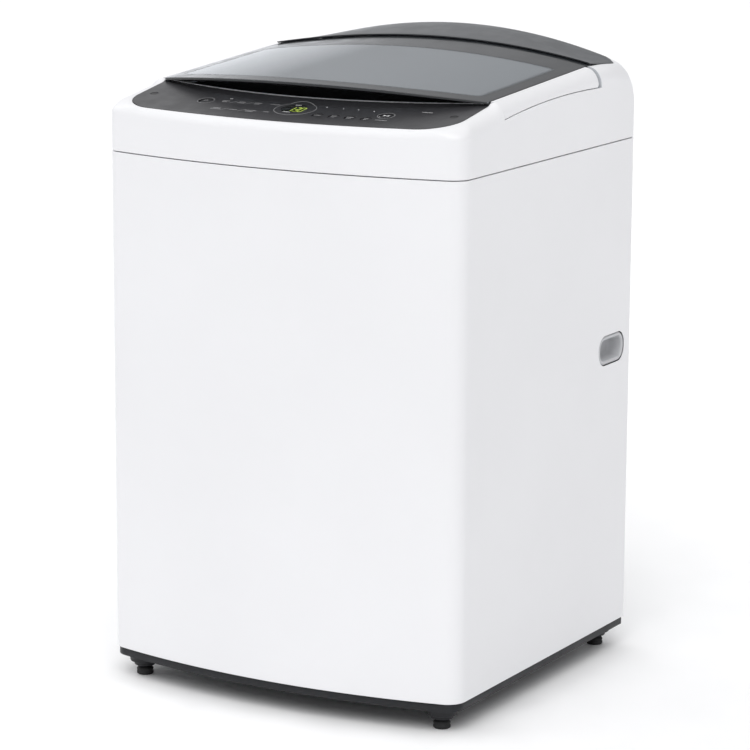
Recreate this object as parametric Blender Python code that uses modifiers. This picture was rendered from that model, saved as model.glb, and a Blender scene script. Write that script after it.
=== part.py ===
"""Top load washing machine, built as an assembly of separate pieces.

Metres, +Z up. The floor is z = 0, the front faces -Y, and the tub's axis is the Z axis.
Run with: blender --background --python part.py
"""

import math

import bmesh
import bpy
from mathutils import Matrix, Vector

# ---------------------------------------------------------------- driving sizes
HALF_WIDTH = 0.295          # cabinet, side to centre
FRONT_APEX_Y = -0.303       # middle of the bowed front
FRONT_BOW = 0.038           # how far the front bows out between its corners
BACK_Y = 0.279              # cabinet's back
REACH_BACK_Y = 0.303        # ends of the water and drain fittings
CORNER_RADIUS = 0.029       # vertical front corners
BACK_RADIUS = 0.012         # vertical rear corners
CABINET_BOTTOM = 0.045
SEAM_Z = 0.793              # between the steel cabinet and the moulded top
SHEET = 0.0015              # cabinet sheet
MOULDING = 0.0025           # wall of a moulded cover
GAP = 0.0003                # between pieces that touch
FRONT_RADIUS = (HALF_WIDTH**2 + FRONT_BOW**2) / (2 * FRONT_BOW)

# moulded top
RIM_SIDE = 0.0235           # width of the rounded rim along the sides
RIM_FRONT_Y = -0.287        # inner edge of the rim at the middle of the front
RIM_FRONT_BOW = 0.25        # its bow, in metres per square metre
RIM_CORNER = 0.055          # its front corners
RIM_REAR_Y = 0.268
RIM_REAR_CORNER = 0.030
PANEL_EDGE_Z = 0.859        # panel's height at its reference line
PANEL_EDGE_Y = -0.288
PANEL_SLOPE = 0.176
LEDGE_Z = 0.855             # top of the ledge round the loading opening
LEDGE = 0.0025
OPENING_X = 0.205           # loading opening, half width
OPENING_FRONT_Y = -0.160
OPENING_REAR_Y = 0.163
OPENING_CORNER = 0.060
FUNNEL_BOTTOM = 0.8115

# lid, trim and rear deck
LID_EDGE_X = HALF_WIDTH - RIM_SIDE
LIP_Y = 0.180               # deck's front lip at the middle
LIP_BOW = 0.20
LIP_HEIGHT = 0.0042         # deck's lip above the glass
LID_FRONT_Y = -0.223
LID_FRONT_BOW = 1.014
LID_REAR_Z = 0.934          # glass height at the lip, at the middle
LID_SLOPE = 0.069
CROWN = 0.31                # fall from the middle to the sides, per square metre
GLASS = 0.0032
FRAME_DEPTH = 0.008
CREST_Y = 0.2635
CREST_Z = 0.9495
CREST_CROWN = 0.595
TRIM_Y = -0.195
TRIM_BOW = 0.75
TRIM_Z = 0.8815
TRIM_HALF = 0.2655
HINGE_Y = 0.150
HINGE_Z = 0.9015
PIN_RADIUS = 0.004
LUG_INNER_X = 0.2535        # the cover's lugs, which the hinge pins turn in
LUG_OUTER_X = 0.2615
LUG_RADIUS = 0.0055
CAP_FRONT_Y = -0.1435
CAP_REAR_Y = 0.149

# tub, basket and drive
TUB_RADIUS = 0.250
TUB_WALL = 0.004
TUB_BOTTOM = 0.205
TUB_TOP = 0.775
BASKET_RADIUS = 0.224
BASKET_BOTTOM = 0.232
BASKET_TOP = 0.735
PULSATOR_RADIUS = 0.165
FILTER_LOW_Z = 0.380
FILTER_AXIS_X = 0.2155      # edge that a lint filter tilts about
ROD_X = 0.235
ROD_Y = 0.218
LUG_BOTTOM = 0.260
ROD_CUP_Z = 0.200
ROD_TOP = 0.784
GUSSET_TOP = 0.7665         # plates in the cabinet's corners that the rods hang from

# feet
FOOT_X = 0.255
FOOT_FRONT_Y = -0.238
FOOT_REAR_Y = 0.252
PAD_RADIUS = 0.0125
STEM_RADIUS = 0.006
BOSS_BOTTOM = 0.0145

# rear panel, a plate let into the cabinet's open back
PANEL_FRONT_Y = BACK_Y - 0.0035
PANEL_REAR_Y = BACK_Y - 0.0018

# hand grips in the sides
GRIP_Y = 0.209
GRIP_Z = 0.479
GRIP_LENGTH = 0.086
GRIP_HEIGHT = 0.046
GRIP_DEPTH = 0.026

# keys on the panel: name, x, y, radius
BUTTONS = [
    ("power_button", -0.151, -0.2215, 0.0110),
    ("start_button", 0.151, -0.2265, 0.0110),
    ("option_button_1", 0.052, -0.247, 0.0085),
    ("option_button_2", 0.078, -0.247, 0.0085),
    ("option_button_3", 0.104, -0.247, 0.0085),
    ("option_button_4", 0.130, -0.247, 0.0085),
]
BUTTON_DEPTH = 0.010
WINDOW_Y = -0.2265
WINDOW_RADIUS = 0.0185

# drain, dispenser and water fittings
PUMP = Vector((-0.180, 0.200, 0.078))
BELLOWS_X = -0.165
BELLOWS_Y = 0.165
PUMP_TOP = 0.110
OUTLET_X = -0.180
OUTLET_Z = 0.172
GLAND_X = 0.200
GLAND_Z = 0.120
DISPENSER_X = (-0.143, -0.003)
DISPENSER_Y = (0.1657, 0.2355)
DISPENSER_Z = (FUNNEL_BOTTOM, 0.8515)
VALVES = [("cold_inlet_valve", -0.113), ("hot_inlet_valve", -0.053)]
VALVE_Z = 0.832
VALVE_RADIUS = 0.013

ROUND = 24                  # facets of a large turned piece
SMALL = 16                  # facets of a small one

# ---------------------------------------------------------------- scene set-up
for old in list(bpy.data.objects):
    bpy.data.objects.remove(old, do_unlink=True)

PARTS = bpy.data.collections.new("top_load_washing_machine")
CUTTERS = bpy.data.collections.new("cutters")
bpy.context.scene.collection.children.link(PARTS)
bpy.context.scene.collection.children.link(CUTTERS)


def material(name, colour, roughness, metallic=0.0):
    """A Principled BSDF of one colour."""
    made = bpy.data.materials.new(name)
    made.use_nodes = True
    shader = made.node_tree.nodes["Principled BSDF"]
    shader.inputs["Base Color"].default_value = (*colour, 1.0)
    shader.inputs["Roughness"].default_value = roughness
    shader.inputs["Metallic"].default_value = metallic
    return made


WHITE_STEEL = material("white_steel", (0.86, 0.86, 0.87), 0.35)
WHITE_PLASTIC = material("white_plastic", (0.86, 0.86, 0.87), 0.30)
GREY_PLASTIC = material("grey_plastic", (0.55, 0.56, 0.58), 0.45)
DARK_PLASTIC = material("dark_plastic", (0.12, 0.13, 0.15), 0.35)
PANEL_PLASTIC = material("panel_plastic", (0.06, 0.06, 0.065), 0.30)
BLACK_PLASTIC = material("black_plastic", (0.01, 0.01, 0.01), 0.40)
BASE_PLASTIC = material("base_plastic", (0.03, 0.04, 0.05), 0.55)
SILVER = material("silver", (0.75, 0.75, 0.76), 0.25, 1.0)
SMOKED_GLASS = material("smoked_glass", (0.30, 0.33, 0.37), 0.05)
STAINLESS = material("stainless", (0.70, 0.70, 0.71), 0.28, 1.0)
GALVANISED = material("galvanised", (0.55, 0.57, 0.60), 0.45, 1.0)
RUBBER = material("rubber", (0.03, 0.03, 0.03), 0.80)
COPPER = material("copper", (0.72, 0.35, 0.18), 0.35, 1.0)
CIRCUIT = material("circuit", (0.03, 0.20, 0.09), 0.50)

# ---------------------------------------------------------------- modelling tools


def finish(name, data, finish_material, smooth=True):
    """A named object for a sub-part, with its own copy of a material."""
    made = bpy.data.objects.new(name, data)
    data.materials.clear()
    own = finish_material.copy()
    own.name = name
    data.materials.append(own)
    if smooth:
        data.shade_smooth()
        data.set_sharp_from_angle(angle=math.radians(35))
    PARTS.objects.link(made)
    return made


def as_cutter(made):
    """Turns an object into a hidden guide for a Boolean."""
    for holder in list(made.users_collection):
        holder.objects.unlink(made)
    CUTTERS.objects.link(made)
    made.hide_render = True
    made.display_type = "WIRE"
    return made


def combine(target, other, operation):
    """Adds or takes away another closed shape, with an exact Boolean."""
    modifier = target.modifiers.new(operation.lower() + "_" + other.name, "BOOLEAN")
    modifier.operation = operation
    modifier.solver = "EXACT"
    modifier.object = as_cutter(other)
    return target


def cut(target, *others):
    for other in others:
        combine(target, other, "DIFFERENCE")
    return target


def join(target, *others):
    for other in others:
        combine(target, other, "UNION")
    return target


def pivot(made, place):
    """Moves an object's origin onto its joint's axis, and leaves its shape where it was."""
    made.data.transform(Matrix.Translation(-Vector(place)))
    made.matrix_world = Matrix.Translation(place) @ made.matrix_world
    return made


def bevel(target, width, segments=2):
    modifier = target.modifiers.new("bevel", "BEVEL")
    modifier.width = width
    modifier.segments = segments
    modifier.limit_method = "ANGLE"
    modifier.angle_limit = math.radians(40)
    return target


def block(name, low, high, finish_material=GREY_PLASTIC):
    """A box between two corners."""
    low, high = Vector(low), Vector(high)
    mesh = bmesh.new()
    bmesh.ops.create_cube(mesh, size=1.0)
    mesh.transform(Matrix.Translation((low + high) / 2) @ Matrix.Diagonal((*(high - low), 1.0)))
    data = bpy.data.meshes.new(name)
    mesh.to_mesh(data)
    mesh.free()
    return finish(name, data, finish_material, smooth=False)


def rod(name, start, end, radius, finish_material=GREY_PLASTIC, facets=SMALL, end_radius=None):
    """A cylinder or cone from one point to another."""
    start, end = Vector(start), Vector(end)
    mesh = bmesh.new()
    along = end - start
    bmesh.ops.create_cone(
        mesh, cap_ends=True, segments=facets, radius1=radius,
        radius2=radius if end_radius is None else end_radius, depth=along.length,
    )
    turn = along.to_track_quat("Z", "Y").to_matrix().to_4x4()
    mesh.transform(Matrix.Translation((start + end) / 2) @ turn)
    data = bpy.data.meshes.new(name)
    mesh.to_mesh(data)
    mesh.free()
    return finish(name, data, finish_material)


def turned(name, profile, finish_material, facets=ROUND, closed=True, place=None):
    """A profile of (radius, height) points, listed down its outer side, turned about Z."""
    data = bpy.data.meshes.new(name)
    count = len(profile)
    edges = [(i, i + 1) for i in range(count - 1)]
    if closed:
        edges.append((count - 1, 0))
    data.from_pydata([(r, 0.0, z) for r, z in profile], edges, [])
    made = bpy.data.objects.new(name, data)
    screw = made.modifiers.new("screw", "SCREW")
    screw.axis = "Z"
    screw.steps = facets
    screw.render_steps = facets
    screw.use_merge_vertices = True
    screw.merge_threshold = 0.00005
    screw.use_smooth_shade = True
    data.materials.append(finish_material.copy())
    data.materials[0].name = name
    if place is not None:
        made.matrix_world = place
    PARTS.objects.link(made)
    return made


def along_y(x, y, z):
    """Places a turned piece so that its own Z runs along the row's +Y."""
    return Matrix.Translation((x, y, z)) @ Matrix.Rotation(math.radians(-90), 4, "X")


def curve_to_mesh(curve_object, finish_material, smooth=True):
    """Makes a mesh piece of a curve object, welds its caps and removes the curve."""
    bpy.context.view_layer.update()
    evaluated = curve_object.evaluated_get(bpy.context.evaluated_depsgraph_get())
    data = bpy.data.meshes.new_from_object(evaluated)
    mesh = bmesh.new()
    mesh.from_mesh(data)
    bmesh.ops.remove_doubles(mesh, verts=mesh.verts, dist=0.00001)
    bmesh.ops.recalc_face_normals(mesh, faces=mesh.faces)
    mesh.to_mesh(data)
    mesh.free()
    name = curve_object.name
    world = curve_object.matrix_world.copy()
    bpy.data.objects.remove(curve_object, do_unlink=True)
    made = finish(name, data, finish_material, smooth)
    made.matrix_world = world
    return made


def plate(name, outline, low, high, finish_material=GREY_PLASTIC, holes=()):
    """A flat outline in X and Y, with holes, between two heights."""
    curve = bpy.data.curves.new(name, "CURVE")
    curve.dimensions = "2D"
    curve.fill_mode = "BOTH"
    curve.extrude = (high - low) / 2
    for ring in (outline, *holes):
        spline = curve.splines.new("POLY")
        spline.points.add(len(ring) - 1)
        for point, (x, y) in zip(spline.points, ring):
            point.co = (x, y, 0.0, 1.0)
        spline.use_cyclic_u = True
    made = bpy.data.objects.new(name, curve)
    made.location = (0.0, 0.0, (low + high) / 2)
    PARTS.objects.link(made)
    return curve_to_mesh(made, finish_material, smooth=False)


def pipe(name, points, radius, finish_material, sides=2):
    """A round bar or hose along a list of points."""
    curve = bpy.data.curves.new(name, "CURVE")
    curve.dimensions = "3D"
    curve.bevel_depth = radius
    curve.bevel_resolution = sides
    curve.use_fill_caps = True
    spline = curve.splines.new("POLY")
    spline.points.add(len(points) - 1)
    for point, place in zip(spline.points, points):
        point.co = (*place, 1.0)
    made = bpy.data.objects.new(name, curve)
    PARTS.objects.link(made)
    return curve_to_mesh(made, finish_material)


def skin(name, rows, finish_material, thickness, closed_rows=False):
    """A lofted surface through rows of points, thickened away from its outer face."""
    width = len(rows[0])
    data = bpy.data.meshes.new(name)
    faces = []
    for r in range(len(rows) - 1):
        for c in range(width if closed_rows else width - 1):
            n = (c + 1) % width
            faces.append((r * width + c, r * width + n, (r + 1) * width + n, (r + 1) * width + c))
    data.from_pydata([tuple(p) for row in rows for p in row], [], faces)
    made = finish(name, data, finish_material)
    solid = made.modifiers.new("solidify", "SOLIDIFY")
    solid.thickness = thickness
    solid.offset = -1.0
    solid.use_even_offset = True
    return made


def arc(centre, radius, start, end, steps):
    """Points of an arc in a plane, from one angle to another, both in degrees."""
    return [
        (centre[0] + radius * math.cos(a), centre[1] + radius * math.sin(a))
        for a in (math.radians(start + (end - start) * i / steps) for i in range(steps + 1))
    ]


def rounded_box(x0, x1, y0, y1, radius, steps=4):
    """The outline of a rectangle with round corners."""
    corners = [(x1 - radius, y1 - radius, 0), (x0 + radius, y1 - radius, 90),
               (x0 + radius, y0 + radius, 180), (x1 - radius, y0 + radius, 270)]
    return [p for x, y, a in corners for p in arc((x, y), radius, a, a + 90, steps)]


def circle(x, y, radius, steps=24):
    return arc((x, y), radius, 0, 360 - 360 / steps, steps - 1)


# ---------------------------------------------------------------- shared surfaces

FRONT_STEPS = 5
CORNER_STEPS = 4
SIDE_STEPS = 7
REAR_CORNER_STEPS = 3
REAR_STEPS = 3


def even(start, end, steps):
    return [start + (end - start) * i / steps for i in range(steps + 1)]


def mirrored(half):
    """Completes the right half of an outline, front middle to rear middle, with the left one."""
    return half + [(-x, y) for x, y in reversed(half[1:-1])]


def outer_half(inset=0.0):
    """Right half of the cabinet's outline, from the middle of the front to that of the back."""
    radius = FRONT_RADIUS - inset
    corner = CORNER_RADIUS - inset
    centre_y = FRONT_APEX_Y + FRONT_RADIUS
    corner_x = HALF_WIDTH - CORNER_RADIUS
    corner_y = centre_y - math.sqrt((FRONT_RADIUS - CORNER_RADIUS) ** 2 - corner_x**2)
    lean = math.degrees(math.asin(corner_x / (FRONT_RADIUS - CORNER_RADIUS)))
    back_corner = max(BACK_RADIUS - inset, 0.002)
    front = arc((0.0, centre_y), radius, -90, -90 + lean, FRONT_STEPS)
    bend = arc((corner_x, corner_y), corner, -90 + lean, 0, CORNER_STEPS)
    rear_y = BACK_Y - inset - back_corner
    side = [(HALF_WIDTH - inset, y) for y in even(corner_y, rear_y, SIDE_STEPS)]
    rear = arc((HALF_WIDTH - inset - back_corner, rear_y), back_corner, 0, 90, REAR_CORNER_STEPS)
    end = [(x, BACK_Y - inset) for x in even(rear[-1][0], 0.0, REAR_STEPS)]
    return front + bend[1:] + side[1:] + rear[1:] + end[1:]


def rim_half():
    """Right half of the rim's inner edge, with the same stations as outer_half()."""
    corner_x = LID_EDGE_X - RIM_CORNER
    front_y = [RIM_FRONT_Y + RIM_FRONT_BOW * x * x for x in even(0.0, corner_x, FRONT_STEPS)]
    front = list(zip(even(0.0, corner_x, FRONT_STEPS), front_y))
    corner_y = front_y[-1] + RIM_CORNER
    bend = arc((corner_x, corner_y), RIM_CORNER, -90, 0, CORNER_STEPS)
    rear_y = RIM_REAR_Y - RIM_REAR_CORNER
    side = [(LID_EDGE_X, y) for y in even(corner_y, rear_y, SIDE_STEPS)]
    rear = arc((LID_EDGE_X - RIM_REAR_CORNER, rear_y), RIM_REAR_CORNER, 0, 90, REAR_CORNER_STEPS)
    end = [(x, RIM_REAR_Y) for x in even(rear[-1][0], 0.0, REAR_STEPS)]
    return front + bend[1:] + side[1:] + rear[1:] + end[1:]


def panel_height(y):
    return PANEL_EDGE_Z + PANEL_SLOPE * (y - PANEL_EDGE_Y)


def glass_height(x, y):
    """Top of the lid's glass: it climbs to the rear and is crowned from side to side."""
    return LID_REAR_Z + LID_SLOPE * (y - LIP_Y) - CROWN * x * x


def crest_height(x):
    return CREST_Z - CREST_CROWN * x * x


def lip_y(x):
    return LIP_Y - LIP_BOW * x * x


def lid_front_y(x):
    return LID_FRONT_Y + LID_FRONT_BOW * x * x


def trim_y(x):
    return TRIM_Y + TRIM_BOW * x * x


def trim_height(x):
    return TRIM_Z + 0.05 * x * x


def rim_height(x, y):
    """Height of the rim's inner edge, which meets the panel, the lid and then the deck."""
    edge_y = trim_y(TRIM_HALF)
    panel = panel_height(y)
    if y < edge_y:
        return panel
    glass = glass_height(x, y)
    if y < CAP_REAR_Y:
        return glass
    share = min(1.0, (y - CAP_REAR_Y) / (RIM_REAR_Y - CAP_REAR_Y))
    return glass * (1.0 - share) + (crest_height(x) - 0.003) * share


def shoulder_drop(x, y):
    """How far below its inner edge the rim starts to round over."""
    rear = max(0.0, (y - CAP_REAR_Y) / (RIM_REAR_Y - CAP_REAR_Y))
    front = min(1.0, max(0.0, (-0.20 - y) / 0.06))
    corner = min(1.0, abs(x) / LID_EDGE_X)
    side = 0.027 + 0.050 * min(rear, 1.0) ** 2 * corner**2
    return side * (1.0 - front) + 0.015 * front


def seam_height(y):
    """Seam between the lid's side cap and the top cover's wall."""
    return 0.8805 - 0.2855 * (y - 0.09) ** 2


def round_over(outer, inner, start_z, end_z, steps, start_share=0.0):
    """Points from a wall over a quarter-ellipse to the rim's inner edge."""
    points = []
    for i in range(steps + 1):
        share = start_share + (1.0 - start_share) * i / steps
        a = share * math.pi / 2
        across = 1.0 - math.cos(a)
        points.append((outer[0] + (inner[0] - outer[0]) * across,
                       outer[1] + (inner[1] - outer[1]) * across,
                       start_z + (end_z - start_z) * math.sin(a)))
    return points


# ---------------------------------------------------------------- cabinet and base


def corner_gusset(name, side, rear):
    """A plate in a top corner of the cabinet that a suspension rod hangs from."""
    half = [p for p in outer_half(SHEET / 2) if p[0] > 0.17 and (p[1] > 0.15 if rear else p[1] < -0.13)]
    rear_limit = PANEL_FRONT_Y - 0.0007
    outline = [(side * x, min(y, rear_limit)) for x, y in half]
    return plate(name, outline, GUSSET_TOP - 0.005, GUSSET_TOP)


def cabinet_shell():
    half = [p for p in outer_half() if not (p[1] > BACK_Y - 0.0001 and p[0] < 0.27)]
    half.append((0.268, BACK_Y))
    ring = [(-x, y) for x, y in reversed(half[1:])] + half
    rows = [[(x, y, z) for x, y in ring] for z in (CABINET_BOTTOM, SEAM_Z - GAP)]
    made = skin("cabinet_shell", rows, WHITE_STEEL, SHEET)
    for side in (-1, 1):
        for rear, y in ((False, -ROD_Y), (True, ROD_Y)):
            label = f"gusset_{side}_{rear}"
            join(made, corner_gusset(label, side, rear))
            hole = rod("rod_hole_" + label, (side * ROD_X, y, 0.75), (side * ROD_X, y, 0.78), 0.0055)
            cut(made, hole)
    outline = rounded_box(
        GRIP_Y - GRIP_LENGTH / 2, GRIP_Y + GRIP_LENGTH / 2,
        GRIP_Z - GRIP_HEIGHT / 2, GRIP_Z + GRIP_HEIGHT / 2, GRIP_HEIGHT * 0.45,
    )
    for side in (-1, 1):
        slot = plate(f"grip_slot_{side}", outline, -0.02, 0.02)
        slot.matrix_world = grip_place(side)
        cut(made, slot)
    return made


def grip_place(side):
    """Turns an outline drawn in (Y, Z) so that it lies on a side of the cabinet."""
    turn = Matrix(((0, 0, 1), (1, 0, 0), (0, 1, 0))).to_4x4()
    return Matrix.Translation((side * HALF_WIDTH, 0, 0)) @ turn


def hand_grip(name, side):
    """A cup behind the slot in the cabinet's side, open to the outside."""
    inset = 0.0006
    lip = rounded_box(
        GRIP_Y - GRIP_LENGTH / 2 + inset, GRIP_Y + GRIP_LENGTH / 2 - inset,
        GRIP_Z - GRIP_HEIGHT / 2 + inset, GRIP_Z + GRIP_HEIGHT / 2 - inset, GRIP_HEIGHT * 0.45,
    )
    hollow = rounded_box(
        GRIP_Y - GRIP_LENGTH / 2 + 0.004, GRIP_Y + GRIP_LENGTH / 2 - 0.004,
        GRIP_Z - GRIP_HEIGHT / 2 + 0.004, GRIP_Z + GRIP_HEIGHT / 2 - 0.004, GRIP_HEIGHT * 0.4,
    )
    low, high = (-GRIP_DEPTH, 0.0) if side > 0 else (0.0, GRIP_DEPTH)
    cup = plate(name, lip, low, high, WHITE_PLASTIC)
    if side > 0:
        space = plate(name + "_space", hollow, low + 0.003, 0.01)
    else:
        space = plate(name + "_space", hollow, -0.01, high - 0.003)
    for piece in (cup, space):
        piece.matrix_world = grip_place(side) @ piece.matrix_world
    return cut(cup, space)


def rear_panel():
    made = block("rear_panel", (-0.2825, PANEL_FRONT_Y, 0.052), (0.2825, PANEL_REAR_Y, 0.788), GALVANISED)
    cut(made, rod("outlet_hole", (OUTLET_X, 0.25, OUTLET_Z), (OUTLET_X, 0.3, OUTLET_Z), 0.0150))
    cut(made, rod("gland_hole", (GLAND_X, 0.25, GLAND_Z), (GLAND_X, 0.3, GLAND_Z), 0.0095))
    return made


def base_frame():
    """The plastic base: a flat ring with a tapering boss at each corner."""
    outline = mirrored(outer_half(0.003))
    made = plate("base_frame", outline, 0.033, CABINET_BOTTOM - GAP, BASE_PLASTIC,
                 holes=[circle(0.0, 0.0, 0.170, 24)])
    for name, x, y in foot_places():
        upper = rod(name + "_boss", (x, y, 0.022), (x, y, 0.038), 0.025)
        lower = rod(name + "_boss_end", (x, y, BOSS_BOTTOM), (x, y, 0.030), 0.017, end_radius=0.020)
        join(made, upper, lower)
        cut(made, rod(name + "_bore", (x, y, 0.0), (x, y, 0.06), STEM_RADIUS + 0.0004))
    return made


def foot_places():
    return [
        ("foot_front_left", -FOOT_X, FOOT_FRONT_Y), ("foot_front_right", FOOT_X, FOOT_FRONT_Y),
        ("foot_rear_left", -FOOT_X, FOOT_REAR_Y), ("foot_rear_right", FOOT_X, FOOT_REAR_Y),
    ]


def levelling_foot(name, x, y):
    """A pad on a threaded stem, turned as one piece."""
    profile = [
        (0.0, 0.043), (STEM_RADIUS, 0.043), (STEM_RADIUS, 0.0125), (0.010, 0.0105),
        (PAD_RADIUS, 0.0075), (PAD_RADIUS, 0.001), (PAD_RADIUS - 0.001, 0.0), (0.0, 0.0),
    ]
    return turned(name, profile, RUBBER, SMALL + 4, closed=False, place=Matrix.Translation((x, y, 0)))


# ---------------------------------------------------------------- moulded top


def top_cover():
    """Rim, outer wall, ledge and loading funnel, moulded in one piece."""
    outer, inner = mirrored(outer_half()), mirrored(rim_half())
    columns = []
    for p, q in zip(outer, inner):
        top = rim_height(*q)
        start = top - shoulder_drop(*q)
        columns.append([(p[0], p[1], SEAM_Z + GAP)] + round_over(p, q, start, top, 4))
    rows = [list(row) for row in zip(*columns)]
    made = skin("top_cover", rows, WHITE_PLASTIC, MOULDING, closed_rows=True)

    ledge_outline = [p for p in mirrored(outer_half(0.0016)) if p[1] > -0.19]
    ledge_outline = [(x, max(y, -0.165)) for x, y in ledge_outline]
    opening = rounded_box(-OPENING_X, OPENING_X, OPENING_FRONT_Y, OPENING_REAR_Y, OPENING_CORNER, 5)
    wall = 0.0022
    outside = rounded_box(-OPENING_X - wall, OPENING_X + wall, OPENING_FRONT_Y - wall,
                          OPENING_REAR_Y + wall, OPENING_CORNER + wall, 5)
    ledge = plate("ledge", ledge_outline, LEDGE_Z - LEDGE, LEDGE_Z, holes=[opening])
    funnel = plate("funnel", outside, FUNNEL_BOTTOM, LEDGE_Z - 0.001, holes=[opening])
    back_wall = block("back_wall", (-0.262, 0.2015, LEDGE_Z - 0.001), (0.262, 0.204, 0.905))
    join(made, ledge, funnel, back_wall)
    for side in (-1, 1):
        low_x, high_x = sorted((side * LUG_INNER_X, side * LUG_OUTER_X))
        lug = block(f"hinge_lug_{side}", (low_x, HINGE_Y - LUG_RADIUS, LEDGE_Z - 0.001),
                    (high_x, HINGE_Y + LUG_RADIUS, HINGE_Z))
        head = rod(f"lug_head_{side}", (low_x, HINGE_Y, HINGE_Z), (high_x, HINGE_Y, HINGE_Z), LUG_RADIUS)
        hole = rod(f"pin_hole_{side}", (low_x - 0.01, HINGE_Y, HINGE_Z), (high_x + 0.01, HINGE_Y, HINGE_Z),
                   PIN_RADIUS + 0.0004)
        join(made, lug, head)
        cut(made, hole, cap_notch(side))
    drawer_hole = block("drawer_hole", (DISPENSER_X[0] + 0.003, OPENING_REAR_Y - 0.01, 0.8140),
                        (DISPENSER_X[1] - 0.003, OPENING_REAR_Y + 0.01, 0.8485))
    cut(made, drawer_hole)
    for name, x in VALVES:
        cut(made, rod(name + "_hole", (x, 0.27, VALVE_Z), (x, 0.29, VALVE_Z), VALVE_RADIUS + 0.0006))
    return made


def cap_notch(side):
    """The space in the rim and wall that the lid's side cap fills."""
    steps = 6
    front_y, rear_y = CAP_FRONT_Y - 0.0008, CAP_REAR_Y + 0.0105
    bottom = [(y, seam_height(min(y, CAP_REAR_Y)) - 0.0004) for y in even(front_y, rear_y, steps)]
    outline = bottom + [(rear_y, 0.97), (front_y, 0.97)]
    low, high = (-0.026, 0.02) if side > 0 else (-0.02, 0.026)
    notch = plate(f"cap_notch_{side}", outline, low, high)
    notch.matrix_world = grip_place(side) @ notch.matrix_world
    return notch


def rear_deck_cover():
    """The dark cover behind the lid, from its front lip over the crest to the rear rim."""
    clear = 0.0016
    rows = []
    steps = 12
    for v in range(5):
        share = v / 4
        row = []
        for u in even(-1.0, 1.0, steps):
            half_here = LID_EDGE_X - clear
            guess_y = lip_y(u * half_here) + (CREST_Y - lip_y(u * half_here)) * share
            over = max(0.0, guess_y - (RIM_REAR_Y - RIM_REAR_CORNER) + 0.003)
            bend = RIM_REAR_CORNER - math.sqrt(max(0.0, RIM_REAR_CORNER**2 - over**2))
            x = u * (half_here - bend)
            y = lip_y(x) + (CREST_Y - lip_y(x)) * share
            front_z = glass_height(x, lip_y(x)) + LIP_HEIGHT
            rise = crest_height(x) - front_z
            row.append((x, y, front_z + rise * math.sin(share * math.pi / 2) ** 0.8))
        rows.append(row)
    last = rows[-1]
    rows.append([(x * 0.995, RIM_REAR_Y - clear, z - 0.0022) for x, y, z in last])
    return skin("rear_deck_cover", rows, DARK_PLASTIC, MOULDING)


# ---------------------------------------------------------------- control panel


def panel_stations():
    """Pairs of points: on the rim's inner edge and on the trim line, left to right."""
    clear = 0.0012
    half = [(x, y) for x, y in rim_half() if y < trim_y(TRIM_HALF) - 0.004 and y < 0.0]
    half.append((LID_EDGE_X, trim_y(TRIM_HALF) - 0.003))
    count = len(half) - 1
    pairs = []
    for i, (x, y) in enumerate(half):
        trim_x = TRIM_HALF * (i / count)
        edge = (x - clear * min(1.0, i / 4), y + clear * (1.0 if i < FRONT_STEPS + 3 else 0.0))
        pairs.append((edge, trim_x))
    left = [((-edge[0], edge[1]), -trim_x) for edge, trim_x in reversed(pairs[1:])]
    return left + pairs


def control_fascia():
    rows = [[], [], [], []]
    for (edge_x, edge_y), trim_x in panel_stations():
        step = 0.012 * max(0.0, 1.0 - (trim_x / 0.23) ** 2) + 0.0012
        low_y = trim_y(trim_x) - step
        low = (trim_x, low_y, min(panel_height(low_y), trim_height(trim_x) - 0.0004))
        middle_y = (edge_y + low_y) / 2
        rows[0].append((edge_x, edge_y, panel_height(edge_y)))
        rows[1].append(((edge_x + trim_x) / 2, middle_y, panel_height(middle_y)))
        rows[2].append(low)
        rows[3].append((trim_x, trim_y(trim_x), trim_height(trim_x)))
    made = skin("control_fascia", rows, PANEL_PLASTIC, MOULDING)
    for name, x, y, radius in BUTTONS:
        cut(made, panel_rod(name + "_hole", x, y, radius + GAP, -0.02, 0.01))
    cut(made, panel_rod("window_hole", 0.0, WINDOW_Y, WINDOW_RADIUS + GAP, -0.02, 0.01))
    return made


def panel_rod(name, x, y, radius, low, high, finish_material=PANEL_PLASTIC):
    """A round piece standing on the panel's slope, between two heights along its normal."""
    normal = Vector((0.0, -PANEL_SLOPE, 1.0)).normalized()
    foot = Vector((x, y, panel_height(y)))
    return rod(name, foot + normal * low, foot + normal * high, radius, finish_material, 20)


def control_board():
    """The sealed electronics tray under the panel."""
    made = block("control_board", (-0.170, -0.026, -0.006), (0.170, 0.026, 0.006), CIRCUIT)
    made.location = (0.0, -0.240, panel_height(-0.240) - 0.0205)
    made.rotation_euler = (math.atan(PANEL_SLOPE), 0.0, 0.0)
    return bevel(made, 0.0015, 1)


def band(name, reach, rows_of, finish_material, thickness, steps=16):
    """A skin whose rows are functions of x."""
    xs = even(-reach, reach, steps)
    return skin(name, [[row(x) for x in xs] for row in rows_of], finish_material, thickness)


def trim_strip():
    return band("trim_strip", TRIM_HALF - 0.003, [
        lambda x: (x, trim_y(x) + 0.0019, trim_height(x)),
        lambda x: (x, trim_y(x) + 0.0045, trim_height(x) + 0.0002),
    ], SILVER, 0.0018)


def hand_recess_liner():
    """The black hollow behind the trim, where fingers reach under the lid's front lip."""
    rear_y, floor_z = -0.1390, 0.8600
    return band("hand_recess_liner", 0.2300, [
        lambda x: (x, trim_y(x) + 0.0070, trim_height(x) - 0.0008),
        lambda x: (x, trim_y(x) + 0.0080, trim_height(x) - 0.0050),
        lambda x: (x, trim_y(x) * 0.7 + rear_y * 0.3 + 0.004, floor_z + 0.003),
        lambda x: (x, trim_y(x) * 0.3 + rear_y * 0.7 + 0.001, floor_z),
        lambda x: (x, rear_y, floor_z),
    ], BLACK_PLASTIC, 0.0015)


# ---------------------------------------------------------------- lid

LID_PIVOT = Vector((0.0, HINGE_Y, HINGE_Z))


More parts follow.
